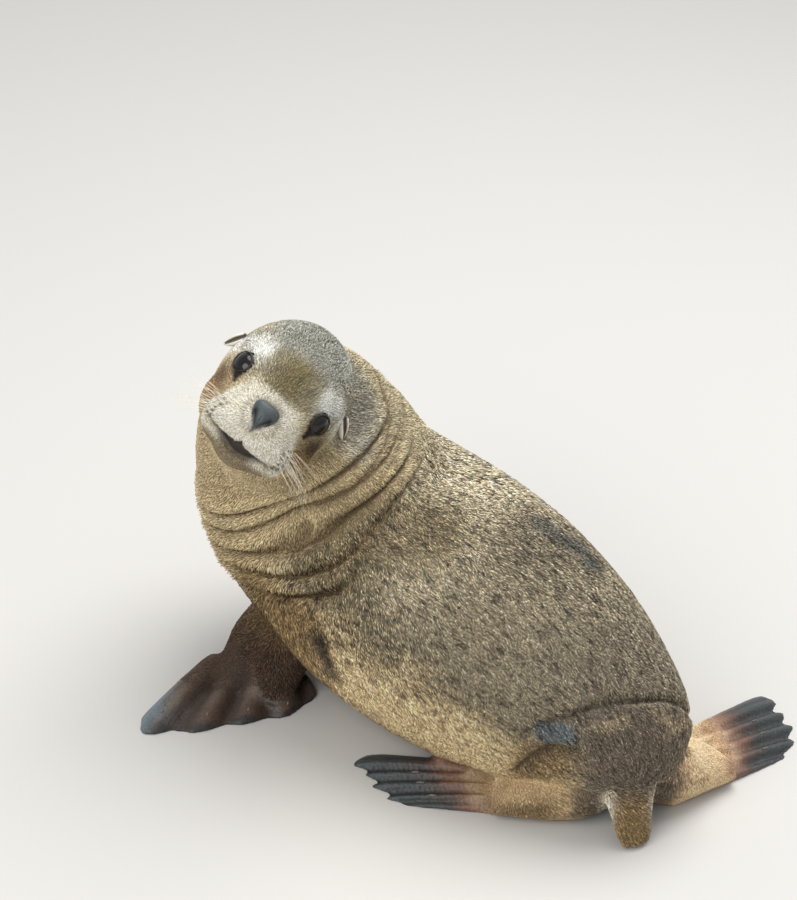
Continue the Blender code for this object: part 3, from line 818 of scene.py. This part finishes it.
def paint_bare_skin(paint, body):
    """Painted shadow under the pads and in the gap between the lips, the lid edges and the
    skin round the nose.
    """
    # painted shadow along the line under each whisker pad
    paint.lay("5a4934", 0.8 * cheek_line(body))
    # painted shade in the gap between the lips
    paint.lay("2b221a", mouth_share(body, 0.0016))
    paint.lay("4a4844", 1 - nose_edge(body))
    for side in (1, -1):
        distance, share = eye_opening(body.points, side)
        rim = smooth(share - 0.42 * eye_corner(body.points, side), 1.34, 1.12)
        paint.lay("241d17", rim * (distance < EYE_REACH))


def coat_tone(body):
    """The coat's colour at each point."""
    paint = Paint("80765f", len(body.points))
    for mark in (paint_trunk, paint_rump, paint_limbs, paint_tail, paint_face, paint_creases,
                 paint_bare_skin):
        mark(paint, body)
    return np.clip(paint.tone, 0.002, 0.95)


# ---- the coat's measures
def flipper_share(body):
    """How far each point belongs to a flipper, and how far out on it."""
    share, reach = np.zeros(len(body.f)), np.full(len(body.f), -1.0)
    for _, out, belongs in body.fans.values():
        better = belongs > share
        share = np.where(better, belongs, share)
        reach = np.where(better, out, reach)
    return share, reach


def nose_edge(body):
    """0 on the skin behind the nose pad, 1 away from it."""
    wide, high, _ = NOSE_HALF
    height = (body.u - NOSE_PLACE[2]) / high
    round_half = wide * np.sqrt(np.maximum(1 - height ** 2, 0.01)) * nose_girth(height)
    out = np.maximum(body.l - round_half, high * (np.abs(height) - 1))
    return np.where(body.f > 0.060, smooth(out, -0.0022, -0.0002), 1)


def fur_share(body):
    """1 where fur grows, 0 on bare skin."""
    share, reach = flipper_share(body)
    fur = 1 - share * smooth(reach, 0.30, 0.62)
    for side in (1, -1):
        distance, opening = eye_opening(body.points, side)
        fur *= np.where(distance < EYE_REACH, smooth(opening, 1.12, 1.30), 1)
    return fur * nose_edge(body) * (1 - mouth_share(body, 0.0010))


def mixed(a, b, share):
    """From a, where the share is 0, to b, where it is 1."""
    return a * (1 - share) + b * share


def coat_measures(body):
    """Length, width and colour scatter of the tufts at each point."""
    share, reach = flipper_share(body)
    angle = np.abs(body.angle)
    head, face = smooth(body.f, -0.110, -0.050), smooth(body.f, 0.010, 0.045)
    length = mixed(THROAT_TUFT, BACK_TUFT, smooth(body.along, 0.24, 0.38))
    length = mixed(mixed(length, HEAD_TUFT, head), FACE_TUFT, face)
    length = mixed(length, mixed(FLIPPER_TUFT, TOE_TUFT, smooth(reach, 0, 0.5)), share)
    arm = smooth(body.arm, 0.080, 0.055) * smooth(body.z, 0.14, 0.10)
    length = length * (1 - 0.35 * arm * (1 - share))
    scatter = 0.40 + 0.60 * smooth(body.along, 0.26, 0.42)
    back = smooth(angle, 2.0, 1.2) * smooth(body.along, 0.16, 0.24)
    scatter = np.maximum(scatter, 0.8 * back)
    scatter *= (1 - 0.5 * smooth(angle, 1.4, 2.0)) * (1 - 0.5 * share)
    scatter = np.maximum(scatter, 0.62 * head * smooth(body.u, 0.020, 0.045) * (1 - face))
    return length, 0.00036 + 0.130 * length, scatter


def flow_from_nose(mesh, points):
    """The lie of the coat: at each vertex, the direction away from the nose over the skin."""
    count = len(points)
    edges = np.empty(len(mesh.edges) * 2, int)
    mesh.edges.foreach_get("vertices", edges)
    edges = edges.reshape(-1, 2)
    spans = np.linalg.norm(points[edges[:, 0]] - points[edges[:, 1]], axis=1)
    near = [[] for _ in range(count)]
    for (a, b), span in zip(edges.tolist(), spans.tolist()):
        near[a].append((b, span))
        near[b].append((a, span))
    tip = np.array(head_point(*NOSE_TIP))
    start = int(((points - tip) ** 2).sum(axis=1).argmin())
    reach = [1e9] * count
    reach[start] = 0.0
    queue = [(0.0, start)]
    while queue:
        gone, here = heapq.heappop(queue)
        if gone > reach[here]:
            continue
        for other, span in near[here]:
            if gone + span < reach[other]:
                reach[other] = gone + span
                heapq.heappush(queue, (gone + span, other))
    return spread(edges, count, slopes(mesh, points, np.array(reach)), FLOW_ROUNDS)


def gathered(where, vectors, count):
    """At each vertex, the sum of the vectors that go there."""
    return np.stack([np.bincount(where, vectors[:, k], count) for k in range(3)], axis=1)


def slopes(mesh, points, values):
    """The steepest rise of a value over the surface, at each vertex."""
    corners = corner_table(mesh)
    a, b, c = (points[corners[:, k]] for k in range(3))
    normal = np.cross(b - a, c - a)
    area = np.maximum((normal ** 2).sum(axis=1, keepdims=True), 1e-18)
    va, vb, vc = (values[corners[:, k]][:, None] for k in range(3))
    rise = (np.cross(normal, c - b) * va + np.cross(normal, a - c) * vb
            + np.cross(normal, b - a) * vc) / area
    return unit(sum(gathered(corners[:, k], rise, len(points)) for k in range(3)))


def spread(edges, count, vectors, rounds):
    """Average each vertex's vector with its neighbours', several times."""
    degree = np.bincount(edges.ravel(), minlength=count)[:, None]
    for _ in range(rounds):
        total = gathered(edges[:, 0], vectors[edges[:, 1]], count)
        total += gathered(edges[:, 1], vectors[edges[:, 0]], count)
        vectors = unit(0.4 * vectors + 0.6 * total / degree)
    return vectors


# ---- tufts
def sown(mesh, points, crowding):
    """Places for tufts, spread by area and crowding: triangle corners and their shares."""
    corners = corner_table(mesh)
    a, b, c = (points[corners[:, k]] for k in range(3))
    area = 0.5 * np.linalg.norm(np.cross(b - a, c - a), axis=1)
    weight = area * crowding[corners].mean(axis=1)
    wanted = min(TUFTS, int(COVER * weight.sum()))
    steps = np.cumsum(weight)
    picks = (np.arange(wanted) + RANDOM.random(wanted)) / wanted * steps[-1]
    chosen = np.minimum(np.searchsorted(steps, picks), len(steps) - 1)
    r, s = np.sqrt(RANDOM.random(wanted)), RANDOM.random(wanted)
    shares = np.stack([1 - r, r * (1 - s), r * s], axis=1)
    return corners[chosen], shares


def tuft_points(root, flow, side, normal, length, width, lift):
    """Five points of each tuft: its root, three round its middle, and its tip."""
    ridge = root + flow * (0.36 * length)[:, None] + normal * (0.55 * lift)[:, None]
    out = np.empty((len(root), 5, 3))
    out[:, 0] = root - normal * 0.0005
    out[:, 1] = ridge + side * (width / 2)[:, None]
    out[:, 2] = ridge - side * (width / 2)[:, None]
    out[:, 3] = ridge + normal * (0.45 * width + 0.0002)[:, None]
    out[:, 4] = root + flow * length[:, None] + normal * lift[:, None]
    return out


COAT_GAIN = 1.17            # tufts shade each other, so their colours are raised
BODY_RADIUS = 0.13
FLECK_STRETCH = 3.2         # how much longer than wide the streaks of colour are
TUFT_FACES = np.array([(0, 1, 3), (0, 3, 2), (0, 2, 1), (4, 3, 1), (4, 2, 3), (4, 1, 2)])
TUFT_PATCH = 0.003          # the bake map's patch for one tuft, in shares of the map
PATCH_PLACES = np.array([(0.0, -0.5), (0.5, -0.1), (-0.5, -0.1), (0.0, 0.0), (0.0, 0.5)])


def coat_piece(name, points, colours, unwrap):
    """One mesh of many tufts, with its colours and its bake map."""
    mesh = bpy.data.meshes.new(name)
    faces = (TUFT_FACES[None] + 5 * np.arange(len(points))[:, None, None]).reshape(-1, 3)
    mesh.from_pydata(points.reshape(-1, 3).tolist(), [], faces.tolist())
    colour_attribute(mesh, "tone", colours.reshape(-1, 3))
    patch = unwrap[:, None, :] + TUFT_PATCH * PATCH_PLACES[None]
    patch = np.clip(patch.reshape(-1, 2), 0, 1)[faces.ravel()]
    layer = mesh.uv_layers.new(name="OFBake")
    layer.data.foreach_set("uv", patch.reshape(-1).astype(np.float32))
    return finished(name, mesh, "coat")


def tuft_colours(tone, scatter, along, angle):
    """Root, middle and tip colours: dark below, partly the hair's own darker base and partly
    painted shade between the tufts, pale at the tip, with streaks of dark and light tufts that
    run along the body."""
    count = len(tone)
    rolled = np.stack([along, FLECK_STRETCH * BODY_RADIUS * angle, np.zeros(count)], axis=1)
    fleck = 0.9 * noise_at(rolled, 62, 11) + 0.8 * noise_at(rolled, 135, 12)
    fleck += 0.26 * RANDOM.normal(0, 1, count)
    dark = scatter * smooth(-fleck, 0.18, 0.62)
    pale = scatter * smooth(fleck, 0.05, 0.60)
    single = RANDOM.normal(0, 1, count) * 0.44 * (0.35 + 0.65 * scatter)
    shade = (1 - 0.80 * dark) * (1 + 0.42 * pale) * np.exp(single)
    base = COAT_GAIN * tone * shade[:, None]
    warm = np.array((1.03, 1.0, 0.94))
    out = np.empty((count, 5, 3))
    plain = 1 - scatter[:, None]
    # dark roots: the hair's darker base and painted shade between the tufts
    out[:, 0] = base * (0.25 + 0.40 * plain)
    out[:, 1] = out[:, 2] = base * (0.66 + 0.14 * plain)
    out[:, 3] = base * warm
    out[:, 4] = base * (1.35 - 0.15 * plain) + 0.008
    return np.clip(out, 0.001, 0.98)


def bake_places(along, angle):
    """An unwrap of the skin: the body rolled out round its spine."""
    span = max(along.max() - along.min(), 1e-6)
    u = 0.01 + 0.98 * (angle + pi) / (2 * pi)
    v = 0.01 + 0.98 * (along - along.min()) / span
    return np.stack([u, v], axis=1)


def flat_places(root, which):
    """An unwrap of the four flippers, each laid flat in a quarter of the map."""
    out = np.zeros((len(root), 2))
    for k in range(len(FANS)):
        mine = which == k
        if not mine.any():
            continue
        low, high = root[mine, :2].min(axis=0), root[mine, :2].max(axis=0)
        place = (root[mine, :2] - low) / np.maximum((high - low).max(), 1e-6)
        out[mine] = 0.01 + 0.48 * place + 0.5 * np.array((k % 2, k // 2))
    return out


def make_coat(skin, body, flow):
    """All the tufts, in pieces from the nose to the tail and one for the flippers."""
    mesh = skin.data
    points, normals = vertex_array(mesh), unit(vertex_array(mesh, "normal"))
    length, width, scatter = coat_measures(body)
    floor = smooth(points[:, 2], 0.0008, 0.0030)
    crowding = smooth(body.fur, 0.15, 0.9) * floor / (0.5 * length * width)
    corners, shares = sown(mesh, points, crowding)

    def here(values):
        """What the skin's values are at the roots of the tufts."""
        picked = values[corners]
        weights = shares[:, :, None] if picked.ndim == 3 else shares
        return (picked * weights).sum(axis=1)

    root, normal, way = here(points), unit(here(normals)), here(flow)
    size = here(length) * RANDOM.uniform(0.75, 1.25, len(root))
    size *= smooth(here(body.fur), -0.4, 0.9)
    broad = here(width) * RANDOM.uniform(0.75, 1.3, len(root))
    way = unit(way - (way * normal).sum(axis=1, keepdims=True) * normal)
    turn = 0.16 * RANDOM.normal(0, 1, len(root)) + 0.35 * noise_at(root, 45, 21)
    way = way * np.cos(turn)[:, None] + np.cross(normal, way) * np.sin(turn)[:, None]
    lift = size * (0.10 + 0.08 * RANDOM.random(len(root))) + 0.0003
    made = tuft_points(root, way, np.cross(normal, way), normal, size, broad, lift)
    made[:, :, 2] = np.maximum(made[:, :, 2], FLOOR_CLEARANCE)
    along, angle = here(body.along), here(body.angle)
    colours = tuft_colours(here(body.tone), here(scatter), along, angle)
    belongs = np.stack([here(share * (reach > -0.1)) for _, reach, share in
                        body.fans.values()], axis=1)
    flipper = belongs.max(axis=1) > 0.5
    order = np.nonzero(~flipper)[0]
    order = order[np.argsort(along[order])]
    bands = np.array_split(order, int(np.ceil(len(order) / TUFTS_IN_PIECE)))
    pieces = [coat_piece(f"coat_{k + 1}", made[band], colours[band],
                         bake_places(along[band], angle[band]))
              for k, band in enumerate(bands)]
    paws = np.nonzero(flipper)[0]
    unwrap = flat_places(root[paws], belongs[paws].argmax(axis=1))
    return pieces + [coat_piece("coat_flippers", made[paws], colours[paws], unwrap)]


# ---- materials
class Stuff:
    """A material, with short ways to add nodes to it."""

    def __init__(self, name, roughness, specular):
        self.material = bpy.data.materials.new(name)
        self.material.use_nodes = True
        tree = self.material.node_tree
        self.nodes, self.link = tree.nodes, tree.links.new
        self.inputs = tree.nodes["Principled BSDF"].inputs
        self.inputs["Roughness"].default_value = roughness
        self.inputs["Specular IOR Level"].default_value = specular

    def add(self, kind, **values):
        """A node with these values for its inputs or its settings."""
        node = self.nodes.new(kind)
        for key, value in values.items():
            if key in node.inputs:
                node.inputs[key].default_value = value
            else:
                setattr(node, key, value)
        return node

    def texture(self, kind, output, **values):
        """An output of a texture that is laid out in the object's own metres."""
        node = self.add(kind, **values)
        self.link(self.add("ShaderNodeTexCoord").outputs["Object"], node.inputs["Vector"])
        return node.outputs[output]

    def colour(self, colour, scale, low, high, detail=3.0):
        """Colour the shader, darker and lighter with a noise, which is returned."""
        grain = self.texture("ShaderNodeTexNoise", "Fac", Scale=scale, Detail=detail)
        ramp = self.add("ShaderNodeValToRGB")
        for stop, place, grey in zip(ramp.color_ramp.elements, (0.3, 0.7), (low, high)):
            stop.position, stop.color = place, (grey, grey, grey, 1)
        mix = self.add("ShaderNodeMix", data_type="RGBA", blend_type="MULTIPLY")
        mix.inputs[0].default_value = 1.0
        self.link(grain, ramp.inputs["Fac"])
        self.link(colour, mix.inputs[6])
        self.link(ramp.outputs["Color"], mix.inputs[7])
        self.link(mix.outputs[2], self.inputs["Base Color"])
        return grain

    def bump(self, height, strength, distance):
        bump = self.add("ShaderNodeBump", Strength=strength, Distance=distance)
        self.link(height, bump.inputs["Height"])
        self.link(bump.outputs["Normal"], self.inputs["Normal"])


def toned(name, roughness, specular, *grain):
    """A material with the colour of its mesh's tone attribute, and its grain's noise."""
    stuff = Stuff(name, roughness, specular)
    tone = stuff.add("ShaderNodeAttribute", attribute_name="tone")
    return stuff, stuff.colour(tone.outputs["Color"], *grain)


def horn(name, roughness, code):
    """Whisker or nail: a material of one colour with a fine grain."""
    stuff = Stuff(name, roughness, 0.5)
    rgb = stuff.add("ShaderNodeRGB").outputs[0]
    rgb.default_value = (*linear(code), 1)
    stuff.colour(rgb, 300, 0.75, 1.1)
    return stuff


def make_materials():
    """All the materials, by name. Bare skin is smoother than skin under the coat."""
    coat = toned("coat", 0.62, 0.35, 900, 0.85, 1.15)[0]
    skin, wrinkles = toned("skin", 0.6, 0.4, 420, 0.72, 1.2, 6.0)
    bare = skin.add("ShaderNodeAttribute", attribute_name="bare")
    rough = skin.add("ShaderNodeMapRange", **{"To Min": 0.75, "To Max": 0.42})
    skin.link(bare.outputs["Fac"], rough.inputs["Value"])
    skin.link(rough.outputs["Result"], skin.inputs["Roughness"])
    skin.bump(wrinkles, 0.5, 0.0012)
    nose = toned("nose", 0.42, 0.5, 500, 0.8, 1.15)[0]
    nose.bump(nose.texture("ShaderNodeTexVoronoi", "Distance", Scale=1100.0), 0.35, 0.0006)
    eye = toned("eye", 0.08, 0.30, 700, 0.7, 1.2)[0]
    eye.inputs["Coat Weight"].default_value = 0.22
    eye.inputs["Coat Roughness"].default_value = 0.05
    floor = Stuff("floor", 0.9, 0.2)
    floor.inputs["Base Color"].default_value = (0.60, 0.59, 0.57, 1)
    whisker, nail = horn("whisker", 0.4, "e9e3d2"), horn("nail", 0.35, "6f675d")
    made = {"coat": coat, "skin": skin, "nose": nose, "eye": eye, "whisker": whisker,
            "nail": nail, "floor": floor}
    return {name: stuff.material for name, stuff in made.items()}


MATERIALS = make_materials()


# ---- the skin as a piece
def make_skin():
    """The skin, what is known of its points, and the lie of the coat on it."""
    skin = skin_mesh()
    mesh = skin.data
    points, normals = vertex_array(mesh), unit(vertex_array(mesh, "normal"))
    body = read_body(points, normals)
    moved = points + normals * shape_skin(points, normals, body)[:, None]
    for side in (1, -1):
        centre = np.array(eye_frame(side)[0])
        distance, share = eye_opening(points, side)
        inside = (share < 1.06) & (distance < EYE_REACH)
        moved[inside] = centre + unit(points[inside] - centre) * SOCKET_RADIUS
    moved[:, 2] = np.maximum(moved[:, 2], 0.0)
    mesh.vertices.foreach_set("co", moved.astype(np.float32).ravel())
    mesh.update()
    body.tone = coat_tone(body)
    body = thinned(skin, body)
    mesh = skin.data
    flow = flow_from_nose(mesh, vertex_array(mesh))
    colour_attribute(mesh, "tone", body.tone * (0.72 + 0.28 * (1 - body.fur))[:, None])
    number_attribute(mesh, "bare", 1 - body.fur)
    mesh.shade_smooth()
    mesh.materials.clear()
    mesh.materials.append(MATERIALS["skin"])
    return skin, body, flow


# ---- eyes, lids, nose, ears, nails and whiskers
def make_eye(side, name):
    """A wet dark eyeball with a faint brown iris round a wide pupil."""
    centre, gaze = eye_frame(side)[:2]
    bm = bmesh.new()
    bmesh.ops.create_uvsphere(bm, u_segments=64, v_segments=40, radius=EYE_RADIUS)
    turn = gaze.to_track_quat("Z", "Y").to_matrix()
    for v in bm.verts:
        ahead = v.co.z / EYE_RADIUS
        bulge = 1 + 0.035 * max(0.0, (ahead - 0.80) / 0.20) ** 0.8
        v.co = centre + turn @ (v.co * bulge)
    mesh = mesh_of(bm, name)
    ahead = (vertex_array(mesh) - np.array(centre)) @ np.array(gaze) / EYE_RADIUS
    paint = Paint("08090b", len(ahead))
    paint.lay("1a120d", smooth(ahead, 0.74, 0.80) * smooth(ahead, 0.94, 0.90))
    colour_attribute(mesh, "tone", paint.tone)
    return finished(name, mesh, "eye")


def make_lids(side, name):
    """The dark rim of the lids, a soft ring that hugs the eyeball."""
    centre, gaze, across, up = eye_frame(side)
    around, ring = 72, 10
    points = []
    for i in range(around):
        turn = 2 * pi * i / around
        edge = Vector((EYE_OPENING[0] * cos(turn), EYE_OPENING[1] * sin(turn)))
        inner = side * LEFT.dot(across) * cos(turn) < -0.75
        for j in range(ring):
            roll = 2 * pi * j / ring
            flat = edge * (1.04 + 0.070 * cos(roll) + (0.03 if inner else 0))
            height = EYE_RADIUS + 0.0003 + 0.0012 * (1 + sin(roll)) * 0.5
            ahead = max(1 - flat.length_squared, 0.05) ** 0.5
            way = (flat.x * across + flat.y * up + ahead * gaze).normalized()
            points.append(centre + way * height)
    tones = np.tile(linear("15100c"), (len(points), 1))
    return piece_from(name, points, tube_faces(around, ring, closed=True), "nose", tones)


def nose_girth(height):
    """The nose pad's width at a height from -1 to 1, for a pad of a round outline."""
    height = np.clip(height, -1, 1)
    return 0.30 + 0.45 * (height + 1) + 0.5 * np.maximum(height, 0) ** 3


def nostril(left, up):
    """1 in the slit along each lower side of the nose pad, 0 outside it."""
    start, end = Vector((0.0090, 0.0020)), Vector((0.0026, -0.0100))
    place, line = Vector((abs(left), up)), end - start
    t = min(max((place - start).dot(line) / line.length_squared, 0), 1)
    return float(bell((place - start - t * line).length, 0.0021 - 0.0009 * t))


def make_nose():
    """The bare nose pad, broad above and narrow below, with two slit nostrils painted dark as
    shade.
    """
    rows, around = 61, 90
    centre = head_point(*NOSE_PLACE)
    wide, high, deep = NOSE_HALF
    dark, grey = linear("0a0909"), linear("3c4446")
    points, tones = [], []
    for i in range(rows):
        polar = pi * i / (rows - 1)
        for j in range(around):
            turn = 2 * pi * j / around
            x, y, z = sin(polar) * cos(turn), sin(polar) * sin(turn), cos(polar)
            left, up = wide * x * float(nose_girth(y)), high * y
            slit = nostril(left, up) * float(smooth(z, 0.15, 0.45))
            ahead = deep * z - 0.0016 * float(smooth(-y, 0.1, 1.0)) - 0.0040 * slit
            ahead -= 0.0008 * float(bell(left, 0.0009) * smooth(-up, -0.002, 0.004))
            points.append(centre + ahead * FORWARD + left * LEFT + (up + 0.12 * ahead) * UP)
            # the slits are painted dark, as shade inside the nostrils
            tones.append(grey * (1 - slit) + dark * slit)
    return piece_from("nose_pad", points, tube_faces(rows, around), "nose", tones, merge=True)


def make_ear(side, name):
    """A small ear, rolled into a narrow cone that is open in front and below."""
    root = head_point(EAR_ROOT[0], side * EAR_ROOT[1], EAR_ROOT[2])
    lie = (-0.60 * FORWARD + side * 0.47 * LEFT - 0.65 * UP).normalized()
    out = 0.5 * side * LEFT + 0.8 * FORWARD
    out = (out - out.dot(lie) * lie).normalized()
    over = lie.cross(out)
    inside, tan, pale = linear("8d887e"), linear("a89a80"), linear("e2ddd0")
    stations, arc = 16, 18
    points, tones = [], []
    for shell in (1.0, 0.62):
        for i in range(stations):
            t = i / (stations - 1)
            along = (-0.15 + 1.13 * t) * EAR_LENGTH
            radius = 0.0058 * sin(pi * min(0.30 + 0.66 * t, 1.0)) ** 0.8 * shell + 0.0002
            for j in range(arc):
                share = j / (arc - 1)
                turn = radians(-152 + 304 * share) + 0.4 * t
                points.append(root + along * lie - radius * cos(turn) * out
                              + radius * sin(turn) * over)
                rim = smooth(abs(share - 0.5), 0.30, 0.45)
                tones.append(pale * rim + tan * (1 - rim) if shell == 1.0 else inside)
    size = stations * arc
    grid = np.arange(2 * size).reshape(2, stations, arc)
    faces = []
    for starts, step, other in ((grid[:, :-1, :-1], 1, arc),
                                (grid[0][:-1, [0, -1]], arc, size),
                                (grid[0][[0, -1], :-1], 1, size)):
        faces += [(a, a + step, a + step + other, a + other) for a in starts.ravel().tolist()]
    return piece_from(name, points, faces, "coat", tones)


def make_nails(skin_tree):
    """Small nails, set back from the digits' soft tips."""
    points, faces = [], []
    nails = [(hand, d, 0.80) for hand in ("hand_left", "hand_right") for d in range(1, 6)]
    nails += [(foot, d, 0.74) for foot in ("foot_left", "foot_right") for d in (2, 3, 4)]
    for name, digit, reach in nails:
        place, way = fan_point(name, digit, reach)
        hit, normal, _, _ = skin_tree.ray_cast(place + 0.030 * SKY, DOWN)
        if hit is None or normal.z < 0.3:
            continue
        way = (way - way.dot(normal) * normal).normalized()
        side = normal.cross(way)
        long, wide, high = FOOT_NAIL if name.startswith("foot") else HAND_NAIL
        rings = []
        for t in np.linspace(0, 1, 7).tolist():
            girth = sin(pi * (0.12 + 0.84 * t)) ** 0.7
            centre = hit + (2 * t - 1) * long * way + 0.0003 * normal
            rings.append((centre, girth * wide * side, girth * high * normal))
        add_tube(points, faces, rings, 10)
    return piece_from("nails", points, faces, "nail")


def bristle(points, faces, root, way, bend, length):
    """Add a tapering bristle that curves towards bend."""
    side = way.cross(SKY).normalized()
    other = way.cross(side).normalized()
    rings = []
    for t in np.linspace(0, 1, 9).tolist():
        radius = WHISKER_RADIUS * (1 - 0.85 * t)
        centre = root + way * length * t + bend * length * t * t
        rings.append((centre, radius * side, radius * other))
    add_tube(points, faces, rings, 4)


def make_whiskers(skin_tree):
    """Whiskers in five rows on each pad, and three above each eye."""
    points, faces = [], []
    for side in (1, -1):
        for row in range(5):
            for k in range(6):
                f = WHISKERS_START - WHISKER_STEP * k + 0.001 * RANDOM.normal()
                u = -0.040 - WHISKER_ROW * row + 0.0010 * k + 0.0006 * RANDOM.normal()
                hit, normal, _, _ = skin_tree.ray_cast(head_point(f, side * 0.09, u),
                                                       -side * LEFT)
                if hit is None:
                    continue
                way = (side * 0.85 * LEFT + 0.10 * FORWARD - 0.30 * UP).normalized()
                way = (way + 0.5 * normal + 0.16 * Vector(RANDOM.normal(0, 1, 3))).normalized()
                bend = -0.35 * FORWARD - 0.16 * UP + side * 0.05 * LEFT
                length = 0.014 + 0.005 * k + 0.005 * RANDOM.random()
                bristle(points, faces, hit - 0.001 * normal, way, bend, length)
        for k in range(3):
            hit, normal, _, _ = skin_tree.ray_cast(
                head_point(0.10, side * (0.030 + 0.004 * k), 0.024 - 0.003 * k), -FORWARD)
            if hit is not None:
                way = (0.6 * normal + 0.5 * UP + side * 0.3 * LEFT).normalized()
                bristle(points, faces, hit, way, -0.4 * FORWARD, 0.020)
    return piece_from("whiskers", points, faces, "whisker")


# ---- floor, light and camera
LIT_MIDDLE = Vector((0.0, 0.0, 0.15))
CAMERA_PLACE = Vector((-0.016, -2.311, 1.698))
CAMERA_PITCH = radians(60.0)
CAMERA_ROLL = radians(2.6)
FOCAL_LENGTH = 2800.0       # in widths of one picture element
LONG_SIDE = 900.0


def make_stage():
    """The floor and the plain pale world round it."""
    bm = bmesh.new()
    bmesh.ops.create_grid(bm, x_segments=1, y_segments=1, size=12)
    finished("floor", mesh_of(bm, "floor"), "floor")
    world = bpy.data.worlds.new("studio")
    world.use_nodes = True
    sky = world.node_tree.nodes["Background"].inputs
    sky["Color"].default_value = (0.97, 0.98, 1.0, 1)
    sky["Strength"].default_value = 0.65
    SCENE.world = world
    SCENE.view_settings.view_transform = "Standard"


def add_softbox(name, place, size, power, colour):
    """A round soft light that points at the animal."""
    data = bpy.data.lights.new(name, "AREA")
    data.shape, data.size, data.energy, data.color = "DISK", size, power, colour
    lamp = add_object(name, data)
    lamp.location = place
    lamp.rotation_euler = (LIT_MIDDLE - Vector(place)).to_track_quat("-Z", "Y").to_euler()


def make_lights():
    add_softbox("overhead", (0.5, 0.6, 2.6), 2.4, 64, (1.0, 0.985, 0.96))
    add_softbox("front", (-1.4, -2.2, 1.9), 2.2, 46, (1.0, 0.98, 0.95))


def make_camera():
    """A camera where the photograph was taken from."""
    data = bpy.data.cameras.new("camera")
    data.sensor_width = 36.0
    data.lens = FOCAL_LENGTH * data.sensor_width / LONG_SIDE
    camera = add_object("camera", data)
    camera.location = CAMERA_PLACE + ORIGIN
    turn = Matrix.Rotation(CAMERA_PITCH, 4, "X") @ Matrix.Rotation(CAMERA_ROLL, 4, "Z")
    camera.rotation_euler = turn.to_euler()
    SCENE.camera = camera


def tree_of(piece):
    """A search tree over a piece's surface, for rays."""
    mesh = piece.data
    return BVHTree.FromPolygons(vertex_array(mesh).tolist(), corner_table(mesh).tolist())


def build():
    """Everything in the scene, and what each piece rides on."""
    make_camera()
    make_lights()
    make_stage()
    skin, body, flow = make_skin()
    tree = tree_of(skin)
    coats = make_coat(skin, body, flow)
    sides = {"left": 1, "right": -1}
    eyes = {end: make_eye(side, "eyeball_" + end) for end, side in sides.items()}
    lids = [make_lids(side, "lids_" + end) for end, side in sides.items()]
    ears = {end: make_ear(side, "ear_shell_" + end) for end, side in sides.items()}
    nose, nails, whiskers = make_nose(), make_nails(tree), make_whiskers(tree)
    slots = [("fur_back", [skin]), ("nose_skin", [nose]), ("foreflipper_skin", [nails]),
             ("fur_head", [whiskers]), ("fur_back", coats), ("eye", eyes.values()),
             ("nose_skin", lids), ("ear_skin", ears.values())]
    for slot, pieces in slots:
        for piece in pieces:
            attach(piece, "root")
    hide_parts(*[name for name in FLESH if name != "nose"])
    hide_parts("nose")
    for end in sides:
        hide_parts("eye_" + end)
        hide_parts("ear_" + end)


build()
